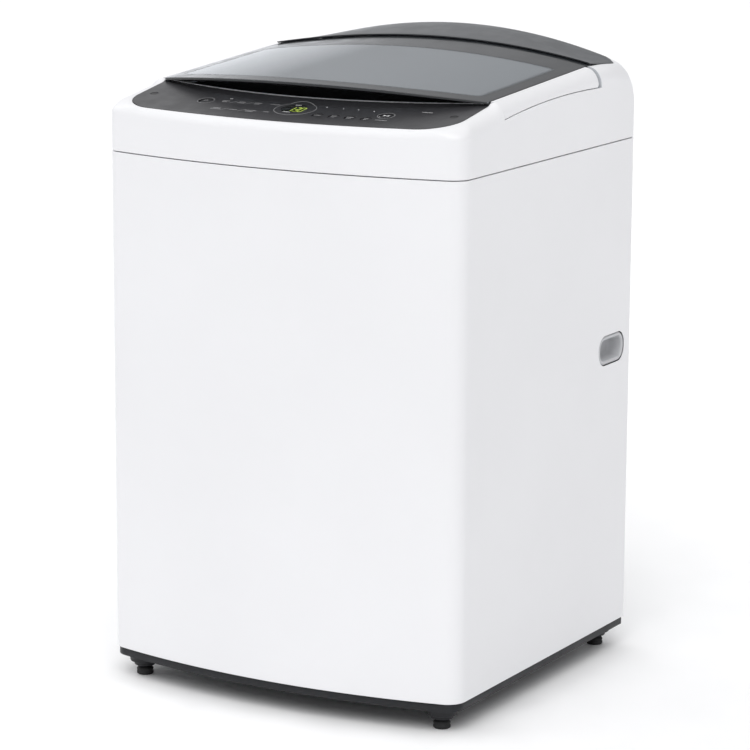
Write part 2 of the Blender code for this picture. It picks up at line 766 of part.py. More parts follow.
def lid_slab(name, half, front, rear, top_drop, depth, finish_material):
    """A crowned slab that follows the lid's surface."""
    made = band(name, half, [
        lambda x: (x, front(x), glass_height(x, front(x)) - top_drop),
        lambda x: (x, rear(x), glass_height(x, rear(x)) - top_drop),
    ], finish_material, depth)
    return pivot(made, LID_PIVOT)


def lid_glass():
    return lid_slab("lid_glass", LID_EDGE_X - 0.0010, lid_front_y, lambda x: lip_y(x) + 0.004,
                    0.0, GLASS, SMOKED_GLASS)


def lid_frame():
    """The moulded ring under the glass, open over the window and notched at its hinges."""
    made = lid_slab("lid_frame", 0.2670, lambda x: lid_front_y(x) + 0.006 + 0.40 * x * x,
                    lambda x: lip_y(x) - 0.001, GLASS + GAP, FRAME_DEPTH, GREY_PLASTIC)
    front_edge = [(x, lid_front_y(x) + 0.030 + 0.40 * x * x) for x in even(-0.238, 0.238, 12)]
    window = plate("lid_window", front_edge + [(0.238, 0.138), (-0.238, 0.138)], 0.85, 0.97)
    cut(made, window)
    for side in (-1, 1):
        low_x, high_x = sorted((side * 0.245, side * 0.30))
        cut(made, block(f"lug_notch_{side}", (low_x, 0.128, 0.85), (high_x, 0.21, 0.97)))
    return made


def lid_side(name, side):
    """The white cap along one side of the lid, which carries on the cover's rounded rim."""
    columns = []
    for y in even(CAP_FRONT_Y, CAP_REAR_Y, 10):
        top = glass_height(LID_EDGE_X, y)
        start = top - 0.027
        low = seam_height(y) + 0.0008
        share = math.asin(max(0.0, min(1.0, (low - start) / 0.027))) / (math.pi / 2)
        wall = (side * HALF_WIDTH, y)
        edge = (side * (LID_EDGE_X - 0.0002), y)
        points = round_over(wall, edge, start, top, 5, share)
        points[0] = (points[0][0], y, low)
        columns.append(points)
    rows = [list(row) for row in zip(*columns)]
    if side < 0:
        rows = rows[::-1]
    return pivot(skin(name, rows, WHITE_PLASTIC, MOULDING), LID_PIVOT)


def lid_hinge_pin(name, side):
    inner = Vector((side * 0.2453, HINGE_Y, HINGE_Z))
    outer = Vector((side * (LUG_OUTER_X + 0.001), HINGE_Y, HINGE_Z))
    return pivot(rod(name, inner, outer, PIN_RADIUS, SILVER), LID_PIVOT)


# ---------------------------------------------------------------- tub


def outer_tub():
    inner = TUB_RADIUS - TUB_WALL
    bottom = TUB_BOTTOM
    profile = [
        (TUB_RADIUS, TUB_TOP), (TUB_RADIUS, bottom + 0.012), (TUB_RADIUS - 0.012, bottom),
        (0.0450, bottom), (0.0450, bottom + 0.006), (inner - 0.010, bottom + 0.006),
        (inner, bottom + 0.016), (inner, TUB_TOP),
    ]
    made = turned("outer_tub", profile, GREY_PLASTIC)
    for side in (-1, 1):
        for y in (-ROD_Y, ROD_Y):
            label = f"lug_{side}_{'front' if y < 0 else 'rear'}"
            lug = block(label, (0.2475, -0.018, LUG_BOTTOM), (0.335, 0.018, LUG_BOTTOM + 0.014))
            lug.rotation_euler = (0.0, 0.0, math.atan2(y, side * ROD_X))
            join(made, lug)
            cut(made, rod(label + "_bore", (side * ROD_X, y, 0.25), (side * ROD_X, y, 0.29), 0.0065))
    cut(made, rod("sump_hole", (BELLOWS_X, BELLOWS_Y, 0.19), (BELLOWS_X, BELLOWS_Y, 0.22), 0.010))
    return made


def tub_cover():
    low = TUB_TOP + GAP
    profile = [(TUB_RADIUS + 0.0005, low + 0.010), (TUB_RADIUS + 0.0005, low), (0.2400, low),
               (0.2300, low + 0.006), (0.1950, low + 0.006), (0.1950, low + 0.002), (0.1920, low + 0.002),
               (0.1920, low + 0.0125), (0.2350, low + 0.0125)]
    return turned("tub_cover", profile, GREY_PLASTIC)


def bearing_housing():
    top = TUB_BOTTOM - GAP
    profile = [(0.095, top), (0.095, top - 0.006), (0.058, top - 0.012), (0.058, 0.150),
               (0.0158, 0.150), (0.0158, TUB_BOTTOM + 0.004), (0.0440, TUB_BOTTOM + 0.004), (0.0440, top)]
    return turned("bearing_housing", profile, GALVANISED, 24)


def motor_stator():
    """A ring of wound teeth round the bearing housing."""
    low, high = 0.152, 0.176
    core = [(0.092, high), (0.092, low), (0.0584, low), (0.0584, high)]
    made = turned("motor_stator", core, COPPER, 24)
    teeth = 12
    for i in range(teeth):
        a = 2 * math.pi * i / teeth
        tooth = block(f"tooth_{i}", (0.088, -0.008, low + 0.002), (0.1060, 0.008, high - 0.002))
        tooth.rotation_euler = (0.0, 0.0, a)
        join(made, tooth)
    return made


def suspension_rod(name, x, y):
    """A hanger rod with a ball seat on the cabinet's gusset and a cup under the tub's lug."""
    seat = GUSSET_TOP + GAP
    cup = ROD_CUP_Z
    profile = [(0.0, ROD_TOP), (0.006, ROD_TOP), (0.014, seat + 0.006), (0.014, seat), (0.0042, seat),
               (0.0042, cup), (0.019, cup), (0.019, cup - 0.004), (0.008, cup - 0.012), (0.0, cup - 0.012)]
    return turned(name, profile, GALVANISED, 12, closed=False, place=Matrix.Translation((x, y, 0)))


def suspension_spring(name, x, y):
    """A coil spring between the rod's cup and the tub's lug."""
    wire, coil = 0.0022, 0.0145
    low, high = ROD_CUP_Z + GAP + wire, LUG_BOTTOM - GAP - wire
    turns, per_turn = 4, 6
    count = turns * per_turn
    points = []
    for i in range(count + 1):
        a = 2 * math.pi * i / per_turn
        points.append((x + coil * math.cos(a), y + coil * math.sin(a), low + (high - low) * i / count))
    return pipe(name, points, wire, GALVANISED, 0)


# ---------------------------------------------------------------- basket and pulsator


def wash_basket():
    inner = BASKET_RADIUS - 0.0015
    low = BASKET_BOTTOM + 0.0135
    profile = [(BASKET_RADIUS, BASKET_TOP), (BASKET_RADIUS, low), (inner, low), (inner, BASKET_TOP)]
    return turned("wash_basket", profile, STAINLESS)


def basket_base():
    low = BASKET_BOTTOM
    rim = BASKET_RADIUS
    profile = [(rim, low + 0.013), (rim, low + 0.004), (rim - 0.014, low), (0.030, low),
               (0.022, low - 0.010), (0.0154, low - 0.010), (0.0154, low + 0.008),
               (0.200, low + 0.008), (0.215, low + 0.013)]
    return turned("basket_base", profile, GREY_PLASTIC)


def balance_ring():
    low = BASKET_TOP + GAP
    profile = [(0.232, low + 0.034), (0.236, low + 0.028), (0.236, low), (0.196, low), (0.190, low + 0.006),
               (0.190, low + 0.030), (0.198, low + 0.036), (0.226, low + 0.036)]
    return turned("balance_ring", profile, GREY_PLASTIC)


def spin_shaft():
    low, high = 0.1480, BASKET_BOTTOM + 0.0080
    profile = [(0.0151, high), (0.0151, low), (0.0088, low), (0.0088, high)]
    return turned("spin_shaft", profile, STAINLESS, 24)


def pulsator_shaft():
    return rod("pulsator_shaft", (0, 0, 0.1445), (0, 0, 0.2500), 0.0080, STAINLESS, 20)


def motor_rotor():
    """The magnet cup that turns round the stator, under the tub."""
    floor, high, low = 0.1442, 0.1820, 0.1400
    profile = [(0.0, floor), (0.1100, floor), (0.1100, high), (0.1160, high), (0.1160, low), (0.0, low)]
    return turned("motor_rotor", profile, GALVANISED, closed=False)


def pulsator():
    """A shallow dished rotor with six raised vanes and a domed hub."""
    low = BASKET_BOTTOM + 0.0085
    reach = PULSATOR_RADIUS
    profile = [(0.0, low + 0.034), (0.020, low + 0.032), (0.036, low + 0.024), (0.048, low + 0.015),
               (reach - 0.03, low + 0.012), (reach, low + 0.019), (reach, low + 0.012),
               (0.060, low), (0.0, low)]
    made = turned("pulsator", profile, GREY_PLASTIC, closed=False)
    for i in range(6):
        vane = block(f"vane_{i}", (0.030, -0.009, low + 0.008), (reach - 0.006, 0.009, low + 0.030))
        vane.rotation_euler = (0.0, 0.0, 2 * math.pi * i / 6)
        bevel(vane, 0.006, 1)
        join(made, vane)
    cut(made, rod("pulsator_bore", (0, 0, low - 0.01), (0, 0, 0.2503), 0.0083, facets=20))
    return made


def lint_filter(name, side):
    """A pocket filter on the basket's wall, which tilts inwards about its lower edge."""
    low_x, high_x = sorted((side * 0.199, side * 0.2165))
    made = block(name, (low_x, -0.042, FILTER_LOW_Z), (high_x, 0.042, FILTER_LOW_Z + 0.220))
    return bevel(pivot(made, (side * FILTER_AXIS_X, 0.0, FILTER_LOW_Z + 0.002)), 0.004, 1)


# ---------------------------------------------------------------- water and drain


def dispenser_housing():
    """The water box that the drawer slides in, open at the front and underneath."""
    low = (DISPENSER_X[0], DISPENSER_Y[0], DISPENSER_Z[0])
    high = (DISPENSER_X[1], DISPENSER_Y[1], DISPENSER_Z[1])
    made = block("dispenser_housing", low, high, GREY_PLASTIC)
    wall = 0.0025
    cut(made, block("dispenser_space", (low[0] + wall, low[1] - 0.01, low[2] + wall),
                    (high[0] - wall, high[1] - wall, high[2] - wall)))
    cut(made, block("dispenser_outfall", (low[0] + 0.02, low[1] + 0.008, low[2] - 0.01),
                    (high[0] - 0.02, low[1] + 0.020, low[2] + 0.01)))
    return made


def detergent_drawer():
    low = (DISPENSER_X[0] + 0.0035, OPENING_REAR_Y - 0.0030, 0.8145)
    high = (DISPENSER_X[1] - 0.0035, 0.2300, 0.8480)
    middle = (low[0] + high[0]) / 2
    made = block("detergent_drawer", low, high, WHITE_PLASTIC)
    pivot(made, (middle, low[1], (low[2] + high[2]) / 2))
    wall = 0.002
    spaces = (("left", low[0] + wall, middle - wall / 2), ("right", middle + wall / 2, high[0] - wall))
    for label, x0, x1 in spaces:
        cut(made, block(f"drawer_space_{label}", (x0, low[1] + 0.004, low[2] + wall),
                        (x1, high[1] - wall, high[2] + 0.01)))
    return made


def inlet_valve(name, x):
    low_z, high_z = VALVE_Z - 0.016, VALVE_Z + 0.016
    made = block(name, (x - 0.018, 0.2380, low_z), (x + 0.018, 0.2660, high_z), DARK_PLASTIC)
    spigot = rod(name + "_spigot", (x, 0.2640, VALVE_Z), (x, REACH_BACK_Y, VALVE_Z), VALVE_RADIUS, facets=20)
    bore = rod(name + "_bore", (x, 0.2700, VALVE_Z), (x, 0.3100, VALVE_Z), VALVE_RADIUS - 0.0035, facets=20)
    join(made, spigot)
    return cut(made, bore)


def pressure_sensor():
    body_z = LEDGE_Z - LEDGE - GAP
    profile = [(0.0, body_z), (0.024, body_z), (0.024, body_z - 0.014), (0.018, body_z - 0.020),
               (0.004, body_z - 0.020), (0.003, body_z - 0.034), (0.0, body_z - 0.034)]
    return turned("pressure_sensor", profile, DARK_PLASTIC, 24, closed=False,
                  place=Matrix.Translation((0.150, 0.236, 0.0)))


def lid_lock():
    top = LEDGE_Z - LEDGE - GAP
    made = block("lid_lock", (0.2120, -0.150, top - 0.024), (0.2440, -0.096, top), DARK_PLASTIC)
    return bevel(made, 0.002, 1)


def drain_pump():
    """A pump body standing on the base, with a volute and a motor."""
    half = Vector((0.0, 0.034, 0.0))
    made = rod("drain_pump", PUMP - half, PUMP + half, 0.024, DARK_PLASTIC, 24)
    foot = block("pump_foot", (PUMP.x - 0.026, PUMP.y - 0.030, CABINET_BOTTOM + GAP),
                 (PUMP.x + 0.026, PUMP.y + 0.030, PUMP.z - 0.010))
    neck_y = BELLOWS_Y + 0.006
    neck = rod("pump_neck", (BELLOWS_X, neck_y, PUMP.z), (BELLOWS_X, neck_y, PUMP_TOP), 0.016)
    nozzle = rod("pump_nozzle", PUMP + half, PUMP + half + Vector((0.0, 0.006, 0.0)), 0.012)
    return join(made, foot, neck, nozzle)


def pump_bellows():
    """The pleated rubber pipe from the tub's sump down to the pump."""
    low, high = PUMP_TOP + GAP, TUB_BOTTOM - GAP
    pleats = 4
    pitch = (high - low) / pleats
    outer = [(0.0130, high)]
    for i in range(pleats):
        z = high - pitch * i
        outer += [(0.0175, z - pitch * 0.5), (0.0130, z - pitch)]
    inner = [(r - 0.003, z) for r, z in reversed(outer)]
    return turned("pump_bellows", outer + inner, RUBBER, 12,
                  place=Matrix.Translation((BELLOWS_X, BELLOWS_Y, 0.0)))


def drain_pipe():
    """The hose from the pump up to the outlet in the rear panel."""
    x, start_y, start_z = PUMP.x, PUMP.y + 0.0403, PUMP.z
    turn_y, bend = 0.2585, 0.012
    points = [(x, start_y, start_z)]
    points += [(x, y, z) for y, z in arc((turn_y - bend, start_z + bend), bend, -90, 0, 4)]
    points += [(x, turn_y, z) for z in (0.11, 0.14)]
    points += [(x, y, z) for y, z in arc((turn_y + bend, OUTLET_Z - bend), bend, 180, 90, 4)]
    points.append((x, BACK_Y - 0.0065, OUTLET_Z))
    return pipe("drain_pipe", points, 0.0095, RUBBER)


def drain_outlet():
    """The hollow spigot that a drain hose is clamped to."""
    start, end = BACK_Y - 0.006, REACH_BACK_Y
    panel = BACK_Y - 0.0018 + GAP - start
    length = end - start
    profile = [(0.0145, length), (0.0145, panel + 0.003), (0.0210, panel + 0.003), (0.0210, panel),
               (0.0145, panel), (0.0145, 0.0), (0.0110, 0.0), (0.0110, length)]
    return turned("drain_outlet", profile, DARK_PLASTIC, 24, place=along_y(OUTLET_X, start, OUTLET_Z))


def power_cord_gland():
    start = BACK_Y - 0.010
    panel = BACK_Y - 0.0018 + GAP - start
    profile = [(0.0070, panel + 0.012), (0.0135, panel + 0.003), (0.0135, panel), (0.0090, panel),
               (0.0090, 0.0), (0.0040, 0.0), (0.0040, panel + 0.012)]
    return turned("power_cord_gland", profile, RUBBER, 20, place=along_y(GLAND_X, start, GLAND_Z))


# ---------------------------------------------------------------- assembly

cabinet_shell()
rear_panel()
base_frame()
top_cover()
rear_deck_cover()
control_fascia()
trim_strip()
hand_recess_liner()
panel_rod("display_window", 0.0, WINDOW_Y, WINDOW_RADIUS, -0.0040, -0.0001, SMOKED_GLASS)
control_board()
for grip_name, grip_side in (("hand_grip_left", -1), ("hand_grip_right", 1)):
    hand_grip(grip_name, grip_side)
for button, button_x, button_y, button_radius in BUTTONS:
    key = panel_rod(button, button_x, button_y, button_radius, -BUTTON_DEPTH, -0.0001)
    pivot(key, (button_x, button_y, panel_height(button_y)))

lid_frame()
lid_glass()
for end, end_side in (("left", -1), ("right", 1)):
    lid_side(f"lid_side_{end}", end_side)
    lid_hinge_pin(f"lid_hinge_pin_{end}", end_side)
    lint_filter(f"lint_filter_{end}", end_side)

outer_tub()
tub_cover()
bearing_housing()
motor_stator()
wash_basket()
basket_base()
balance_ring()
spin_shaft()
pulsator()
pulsator_shaft()
motor_rotor()
for corner, corner_x, corner_y in (
    ("front_left", -ROD_X, -ROD_Y), ("front_right", ROD_X, -ROD_Y),
    ("rear_left", -ROD_X, ROD_Y), ("rear_right", ROD_X, ROD_Y),
):
    suspension_rod(f"suspension_rod_{corner}", corner_x, corner_y)
    suspension_spring(f"suspension_spring_{corner}", corner_x, corner_y)

dispenser_housing()
detergent_drawer()
for valve, valve_x in VALVES:
    inlet_valve(valve, valve_x)
pressure_sensor()
lid_lock()
drain_pump()
pump_bellows()
drain_pipe()
drain_outlet()
power_cord_gland()
for foot, foot_x, foot_y in foot_places():
    levelling_foot(foot, foot_x, foot_y)
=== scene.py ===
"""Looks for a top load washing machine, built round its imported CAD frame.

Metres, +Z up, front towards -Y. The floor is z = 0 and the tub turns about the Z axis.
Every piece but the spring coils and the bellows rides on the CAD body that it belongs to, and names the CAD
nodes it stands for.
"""

import math

import bmesh
import bpy
from mathutils import Matrix, Vector

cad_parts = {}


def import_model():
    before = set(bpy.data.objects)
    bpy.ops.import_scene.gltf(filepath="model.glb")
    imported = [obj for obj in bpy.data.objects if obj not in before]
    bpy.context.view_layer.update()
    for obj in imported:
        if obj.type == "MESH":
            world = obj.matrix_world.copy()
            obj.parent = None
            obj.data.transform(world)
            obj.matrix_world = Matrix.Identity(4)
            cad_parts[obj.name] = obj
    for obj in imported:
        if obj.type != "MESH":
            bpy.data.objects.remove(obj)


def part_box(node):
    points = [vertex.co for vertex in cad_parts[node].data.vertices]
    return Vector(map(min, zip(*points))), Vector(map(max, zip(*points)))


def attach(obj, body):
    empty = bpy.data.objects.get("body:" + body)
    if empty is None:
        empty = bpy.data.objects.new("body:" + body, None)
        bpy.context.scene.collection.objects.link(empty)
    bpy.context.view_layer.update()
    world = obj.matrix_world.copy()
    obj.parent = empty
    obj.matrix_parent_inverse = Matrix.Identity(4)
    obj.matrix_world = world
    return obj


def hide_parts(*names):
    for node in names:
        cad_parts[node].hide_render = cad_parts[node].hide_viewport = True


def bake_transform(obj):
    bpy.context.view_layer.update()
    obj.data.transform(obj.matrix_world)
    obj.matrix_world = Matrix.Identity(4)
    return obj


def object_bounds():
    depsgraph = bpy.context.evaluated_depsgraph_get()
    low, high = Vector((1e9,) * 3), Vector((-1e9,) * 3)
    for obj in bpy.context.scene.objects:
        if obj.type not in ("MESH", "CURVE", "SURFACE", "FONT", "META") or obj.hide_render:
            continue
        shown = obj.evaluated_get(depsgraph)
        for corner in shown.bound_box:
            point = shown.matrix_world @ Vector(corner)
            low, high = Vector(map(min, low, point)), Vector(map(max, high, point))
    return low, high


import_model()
CAD_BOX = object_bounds()

# ---------------------------------------------------------------- sizes from the frame
GAP = 0.0003                # between pieces that touch
ENDS = (("left", -1), ("right", 1))
shell_low, shell_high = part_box("cabinet_shell")
HALF_WIDTH = shell_high.x
FRONT_APEX_Y = shell_low.y
BACK_Y = shell_high.y
CABINET_BOTTOM = shell_low.z
SEAM_Z = shell_high.z + GAP
REACH_BACK_Y = CAD_BOX[1].y

FRONT_BOW = 0.038           # how far the front bows out between its corners
CORNER_RADIUS = 0.029
BACK_RADIUS = 0.012
FRONT_RADIUS = (HALF_WIDTH**2 + FRONT_BOW**2) / (2 * FRONT_BOW)

RIM_FRONT_Y = -0.287        # inner edge of the cover's rim at the middle of the front
RIM_FRONT_BOW = 0.25
RIM_CORNER = 0.055
RIM_REAR_Y = 0.268
RIM_REAR_CORNER = 0.030
PANEL_EDGE_Z = 0.859
PANEL_EDGE_Y = -0.288
PANEL_SLOPE = 0.176
LEDGE_Z = 0.855
OPENING_X = 0.205
OPENING_FRONT_Y = -0.160
OPENING_REAR_Y = 0.163
OPENING_CORNER = 0.060
FUNNEL_BOTTOM = 0.8115
DECK_WALL_Y = 0.2015

GLASS = 0.0032
LID_EDGE_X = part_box("lid_glass")[1].x + 0.0010
LIP_Y = 0.180
LIP_BOW = 0.20
LIP_HEIGHT = 0.0034
SEAM = 0.0017               # gap between the glass and the lip over it
LID_FRONT_Y = -0.223
LID_FRONT_BOW = 1.014
LID_REAR_Z = 0.934
LID_SLOPE = 0.069
CROWN = 0.31
CREST_Y = 0.2635
CREST_Z = 0.9495
CREST_CROWN = 0.595
TRIM_Y = -0.195
TRIM_BOW = 0.75
TRIM_Z = 0.8815
TRIM_HALF = 0.2655
HINGE_Y = 0.150
HINGE_Z = 0.9015
LUG_INNER_X = 0.2535
LUG_OUTER_X = 0.2615
CAP_FRONT_Y = -0.1435
CAP_REAR_Y = 0.149
WINDOW_HALF = 0.2515        # clear window in the lid's printed border
WINDOW_REAR_Y = 0.100
WINDOW_SETBACK = 0.026      # its front edge, behind the lid's
CAP_SEAM_Y = 0.09           # where the seam under a side cap is highest
CAP_SEAM_Z = 0.8805
CAP_SEAM_BOW = 0.2855
SIDE_SHOULDER = 0.027       # height of the rim's rounding at the sides
REAR_SHOULDER = 0.050       # more of it towards the rear corners
FRONT_SHOULDER = 0.015
OVER_STEPS = 14

# ---------------------------------------------------------------- mesh tools


def add(name, data, look, body, replaces=(), angle=35):
    """A smooth piece of the object: its mesh, finish and body, and the CAD nodes it stands for."""
    made = linked(name, data)
    dress(made, look, angle)
    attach(made, body)
    if replaces:
        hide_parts(*replaces)
    return made


def linked(name, data):
    """A new object in the scene."""
    made = bpy.data.objects.new(name, data)
    bpy.context.scene.collection.objects.link(made)
    return made


def dress(made, look, angle=35):
    made.data.materials.clear()
    made.data.materials.append(look)
    made.data.shade_smooth()
    made.data.set_sharp_from_angle(angle=math.radians(angle))


def weigh_normals(made):
    """Keeps a broad face's shading even up to its rounded edges."""
    made.modifiers.new("weighted", "WEIGHTED_NORMAL").keep_sharp = True


def mesh_of(points, faces):
    data = bpy.data.meshes.new("mesh")
    data.from_pydata([tuple(p) for p in points], [], faces)
    return data


def grid_faces(rows, columns, closed=False):
    """Quads between rows of points; a closed row also joins its last point to its first."""
    return [
        (r * columns + c, r * columns + (c + 1) % columns,
         (r + 1) * columns + (c + 1) % columns, (r + 1) * columns + c)
        for r in range(rows - 1) for c in range(columns if closed else columns - 1)
    ]


def helper(data):
    """A loose object that holds modifiers while a mesh is being made."""
    return linked("helper", data)


def settled(made, *cutters):
    """An object's mesh with its modifiers applied; it and its cutters are removed."""
    bpy.context.view_layer.update()
    evaluated = made.evaluated_get(bpy.context.evaluated_depsgraph_get())
    data = bpy.data.meshes.new_from_object(evaluated)
    for old in (made, *cutters):
        bpy.data.objects.remove(old, do_unlink=True)
    mesh = bmesh.new()
    mesh.from_mesh(data)
    bmesh.ops.remove_doubles(mesh, verts=mesh.verts, dist=0.000005)
    bmesh.ops.recalc_face_normals(mesh, faces=mesh.faces)
    mesh.to_mesh(data)
    mesh.free()
    return data


def bevel(made, width, segments=2, angle=40):
    modifier = made.modifiers.new("bevel", "BEVEL")
    modifier.width = width
    modifier.segments = segments
    modifier.limit_method = "ANGLE"
    modifier.angle_limit = math.radians(angle)
    modifier.harden_normals = False
    return made


def skin(rows, thickness, closed=False, round_edge=0.0004):
    """A lofted sheet through rows of points, thickened away from its outer face."""
    columns = len(rows[0])
    points = [p for row in rows for p in row]
    made = helper(mesh_of(points, grid_faces(len(rows), columns, closed)))
    solid = made.modifiers.new("solidify", "SOLIDIFY")
    solid.thickness = thickness
    solid.offset = -1.0
    solid.use_even_offset = True
    if round_edge:
        bevel(made, round_edge, 2, 50)
    return settled(made)


def boxes(*corners, rounding=0.001, segments=2):
    """Rounded blocks in one mesh, each given as two opposite corners."""
    mesh = bmesh.new()
    for low, high in corners:
        low, high = Vector(low), Vector(high)
        size = Matrix.Diagonal((*(high - low), 1.0))
        bmesh.ops.create_cube(mesh, size=1.0, matrix=Matrix.Translation((low + high) / 2) @ size)
    data = bpy.data.meshes.new("boxes")
    mesh.to_mesh(data)
    mesh.free()
    return settled(bevel(helper(data), rounding, segments))


def turned(profile, facets=96, closed=True, place=None, rounding=0.0):
    """A profile of (radius, height) points turned about Z."""
    count = len(profile)
    edges = [(i, i + 1) for i in range(count - 1)] + ([(count - 1, 0)] if closed else [])
    data = bpy.data.meshes.new("profile")
    data.from_pydata([(r, 0.0, z) for r, z in profile], edges, [])
    made = helper(data)
    screw = made.modifiers.new("screw", "SCREW")
    screw.axis = "Z"
    screw.steps = facets
    screw.render_steps = facets
    screw.use_merge_vertices = True
    screw.merge_threshold = 0.00002
    if rounding:
        bevel(made, rounding, 2, 30)
    data = settled(made)
    if place is not None:
        data.transform(place)
    return data


def bore(radius, facets, place):
    """A 60 mm long plug that cuts a round hole."""
    return turned([(radius, 0.03), (radius, -0.03), (0.0, -0.03), (0.0, 0.03)], facets, place=place)


def plate(outline, low, high, holes=(), rounding=0.0):
    """A flat outline in X and Y, with holes, between two heights."""
    curve = bpy.data.curves.new("outline", "CURVE")
    curve.dimensions = "2D"
    curve.fill_mode = "BOTH"
    curve.extrude = (high - low) / 2
    for ring in (outline, *holes):
        spline = curve.splines.new("POLY")
        spline.points.add(len(ring) - 1)
        for point, (x, y) in zip(spline.points, ring):
            point.co = (x, y, 0.0, 1.0)
        spline.use_cyclic_u = True
    data = settled(helper(curve))
    data.transform(Matrix.Translation((0.0, 0.0, (low + high) / 2)))
    if rounding:
        data = settled(bevel(helper(data), rounding, 2, 50))
    return data


def pipe(points, radius, sides):
    """A round bar or hose along a list of points."""
    curve = bpy.data.curves.new("route", "CURVE")
    curve.dimensions = "3D"
    curve.bevel_depth = radius
    curve.bevel_resolution = sides
    curve.use_fill_caps = True
    spline = curve.splines.new("POLY")
    spline.points.add(len(points) - 1)
    for point, place in zip(spline.points, points):
        point.co = (*place, 1.0)
    return settled(helper(curve))


def joined(*parts):
    """Several meshes as one."""
    mesh = bmesh.new()
    for part in parts:
        mesh.from_mesh(part)
    data = bpy.data.meshes.new("joined")
    mesh.to_mesh(data)
    mesh.free()
    return data


def boolean(data, operation, *others):
    """A mesh with others cut from it, or kept only where it meets them."""
    made = helper(data)
    tools = [helper(other) for other in others]
    for tool in tools:
        modifier = made.modifiers.new(operation, "BOOLEAN")
        modifier.operation = operation
        modifier.solver = "EXACT"
        modifier.object = tool
    return settled(made, *tools)


def moved(data, matrix):
    copy = data.copy()
    copy.transform(matrix)
    return copy


def around(data, count, start=0.0):
    """Copies of a mesh at even turns about Z."""
    return [moved(data, Matrix.Rotation(2 * math.pi * (i + start) / count, 4, "Z"))
            for i in range(count)]


def arc(centre, radius, start, end, steps):
    return [
        (centre[0] + radius * math.cos(a), centre[1] + radius * math.sin(a))
        for a in (math.radians(start + (end - start) * i / steps) for i in range(steps + 1))
    ]


def circle(x, y, radius, steps=48):
    return arc((x, y), radius, 0, 360 - 360 / steps, steps - 1)


def rounded_box(x0, x1, y0, y1, radius, steps=8):
    corners = [(x1 - radius, y1 - radius, 0), (x0 + radius, y1 - radius, 90),
               (x0 + radius, y0 + radius, 180), (x1 - radius, y0 + radius, 270)]
    return [p for x, y, a in corners for p in arc((x, y), radius, a, a + 90, steps)]


def even(start, end, steps):
    return [start + (end - start) * i / steps for i in range(steps + 1)]


def smooth_step(low, high, value):
    t = min(1.0, max(0.0, (value - low) / (high - low)))
    return t * t * (3 - 2 * t)


def mirrored(half):
    return half + [(-x, y) for x, y in reversed(half[1:-1])]


def along_y(x, y, z):
    """Places a turned mesh so that its own Z runs along +Y."""
    return Matrix.Translation((x, y, z)) @ Matrix.Rotation(math.radians(-90), 4, "X")


# ---------------------------------------------------------------- finishes


class Nodes:
    """A material's node tree, with short ways to add and join nodes."""

    def __init__(self, name):
        self.material = bpy.data.materials.new(name)
        self.material.use_nodes = True
        self.tree = self.material.node_tree
        self.shader = self.tree.nodes["Principled BSDF"]
        self.place = self.new("ShaderNodeTexCoord").outputs["Object"]

    def new(self, kind, inputs=None, **settings):
        node = self.tree.nodes.new(kind)
        for key, value in settings.items():
            setattr(node, key, value)
        for key, value in (inputs or {}).items():
            if isinstance(value, bpy.types.NodeSocket):
                self.tree.links.new(value, node.inputs[key])
            else:
                node.inputs[key].default_value = value
        return node

    def noise(self, scale, detail=3.0, stretch=None, roughness=0.5):
        place = self.place
        if stretch is not None:
            place = self.new("ShaderNodeMapping", {"Vector": place, "Scale": stretch}).outputs["Vector"]
        made = self.new("ShaderNodeTexNoise", {"Vector": place, "Scale": scale, "Detail": detail,
                                               "Roughness": roughness})
        return made.outputs["Fac"]

    def cells(self, scale):
        return self.new("ShaderNodeTexVoronoi", {"Vector": self.place, "Scale": scale})

    def spread(self, value, low, high, start=0.3, end=0.7):
        """Maps a texture's middle range to a range of values."""
        made = self.new("ShaderNodeMapRange", {"Value": value, "From Min": start, "From Max": end,
                                               "To Min": low, "To Max": high},
                        interpolation_type="SMOOTHSTEP")
        return made.outputs["Result"]

    def tint(self, value, dark, light):
        """A colour between two, by a texture."""
        ramp = self.new("ShaderNodeValToRGB", {"Fac": value})
        ramp.color_ramp.interpolation = "EASE"
        ramp.color_ramp.elements[0].color = (*dark, 1.0)
        ramp.color_ramp.elements[1].color = (*light, 1.0)
        ramp.color_ramp.elements[0].position = 0.3
        ramp.color_ramp.elements[1].position = 0.7
        return ramp.outputs["Color"]

    def relief(self, height, distance, strength=1.0, under=None):
        inputs = {"Height": height, "Distance": distance, "Strength": strength}
        if under is not None:
            inputs["Normal"] = under
        return self.new("ShaderNodeBump", inputs).outputs["Normal"]

    def to(self, socket, value):
        if isinstance(value, bpy.types.NodeSocket):
            self.tree.links.new(value, self.shader.inputs[socket])
        else:
            self.shader.inputs[socket].default_value = value


def scaled(colour, factor):
    return tuple(min(1.0, c * factor) for c in colour)


def painted(name, colour, rough, peel=0.000003):
    """Sprayed enamel: faint orange peel, slight drifts of tone and gloss."""
    n = Nodes(name)
    n.to("Base Color", n.tint(n.noise(3.0), scaled(colour, 0.985), scaled(colour, 1.01)))
    n.to("Roughness", n.spread(n.noise(9.0), rough - 0.04, rough + 0.04))
    n.to("Normal", n.relief(n.noise(650.0, 2.0), peel))
    return n.material


def moulded(name, colour, rough, grain=1500.0, depth=0.000006, specular=0.5, drift=0.06):
    """Moulded plastic: a fine etched grain over slow changes in tone and gloss."""
    n = Nodes(name)
    n.to("Base Color", n.tint(n.noise(14.0), scaled(colour, 1 - drift), scaled(colour, 1 + drift)))
    n.to("Roughness", n.spread(n.noise(30.0), rough - 0.05, rough + 0.05))
    n.to("Specular IOR Level", specular)
    etched = n.relief(n.cells(grain).outputs["Distance"], depth)
    n.to("Normal", n.relief(n.noise(grain * 0.6, 2.0), depth * 0.6, under=etched))
    return n.material


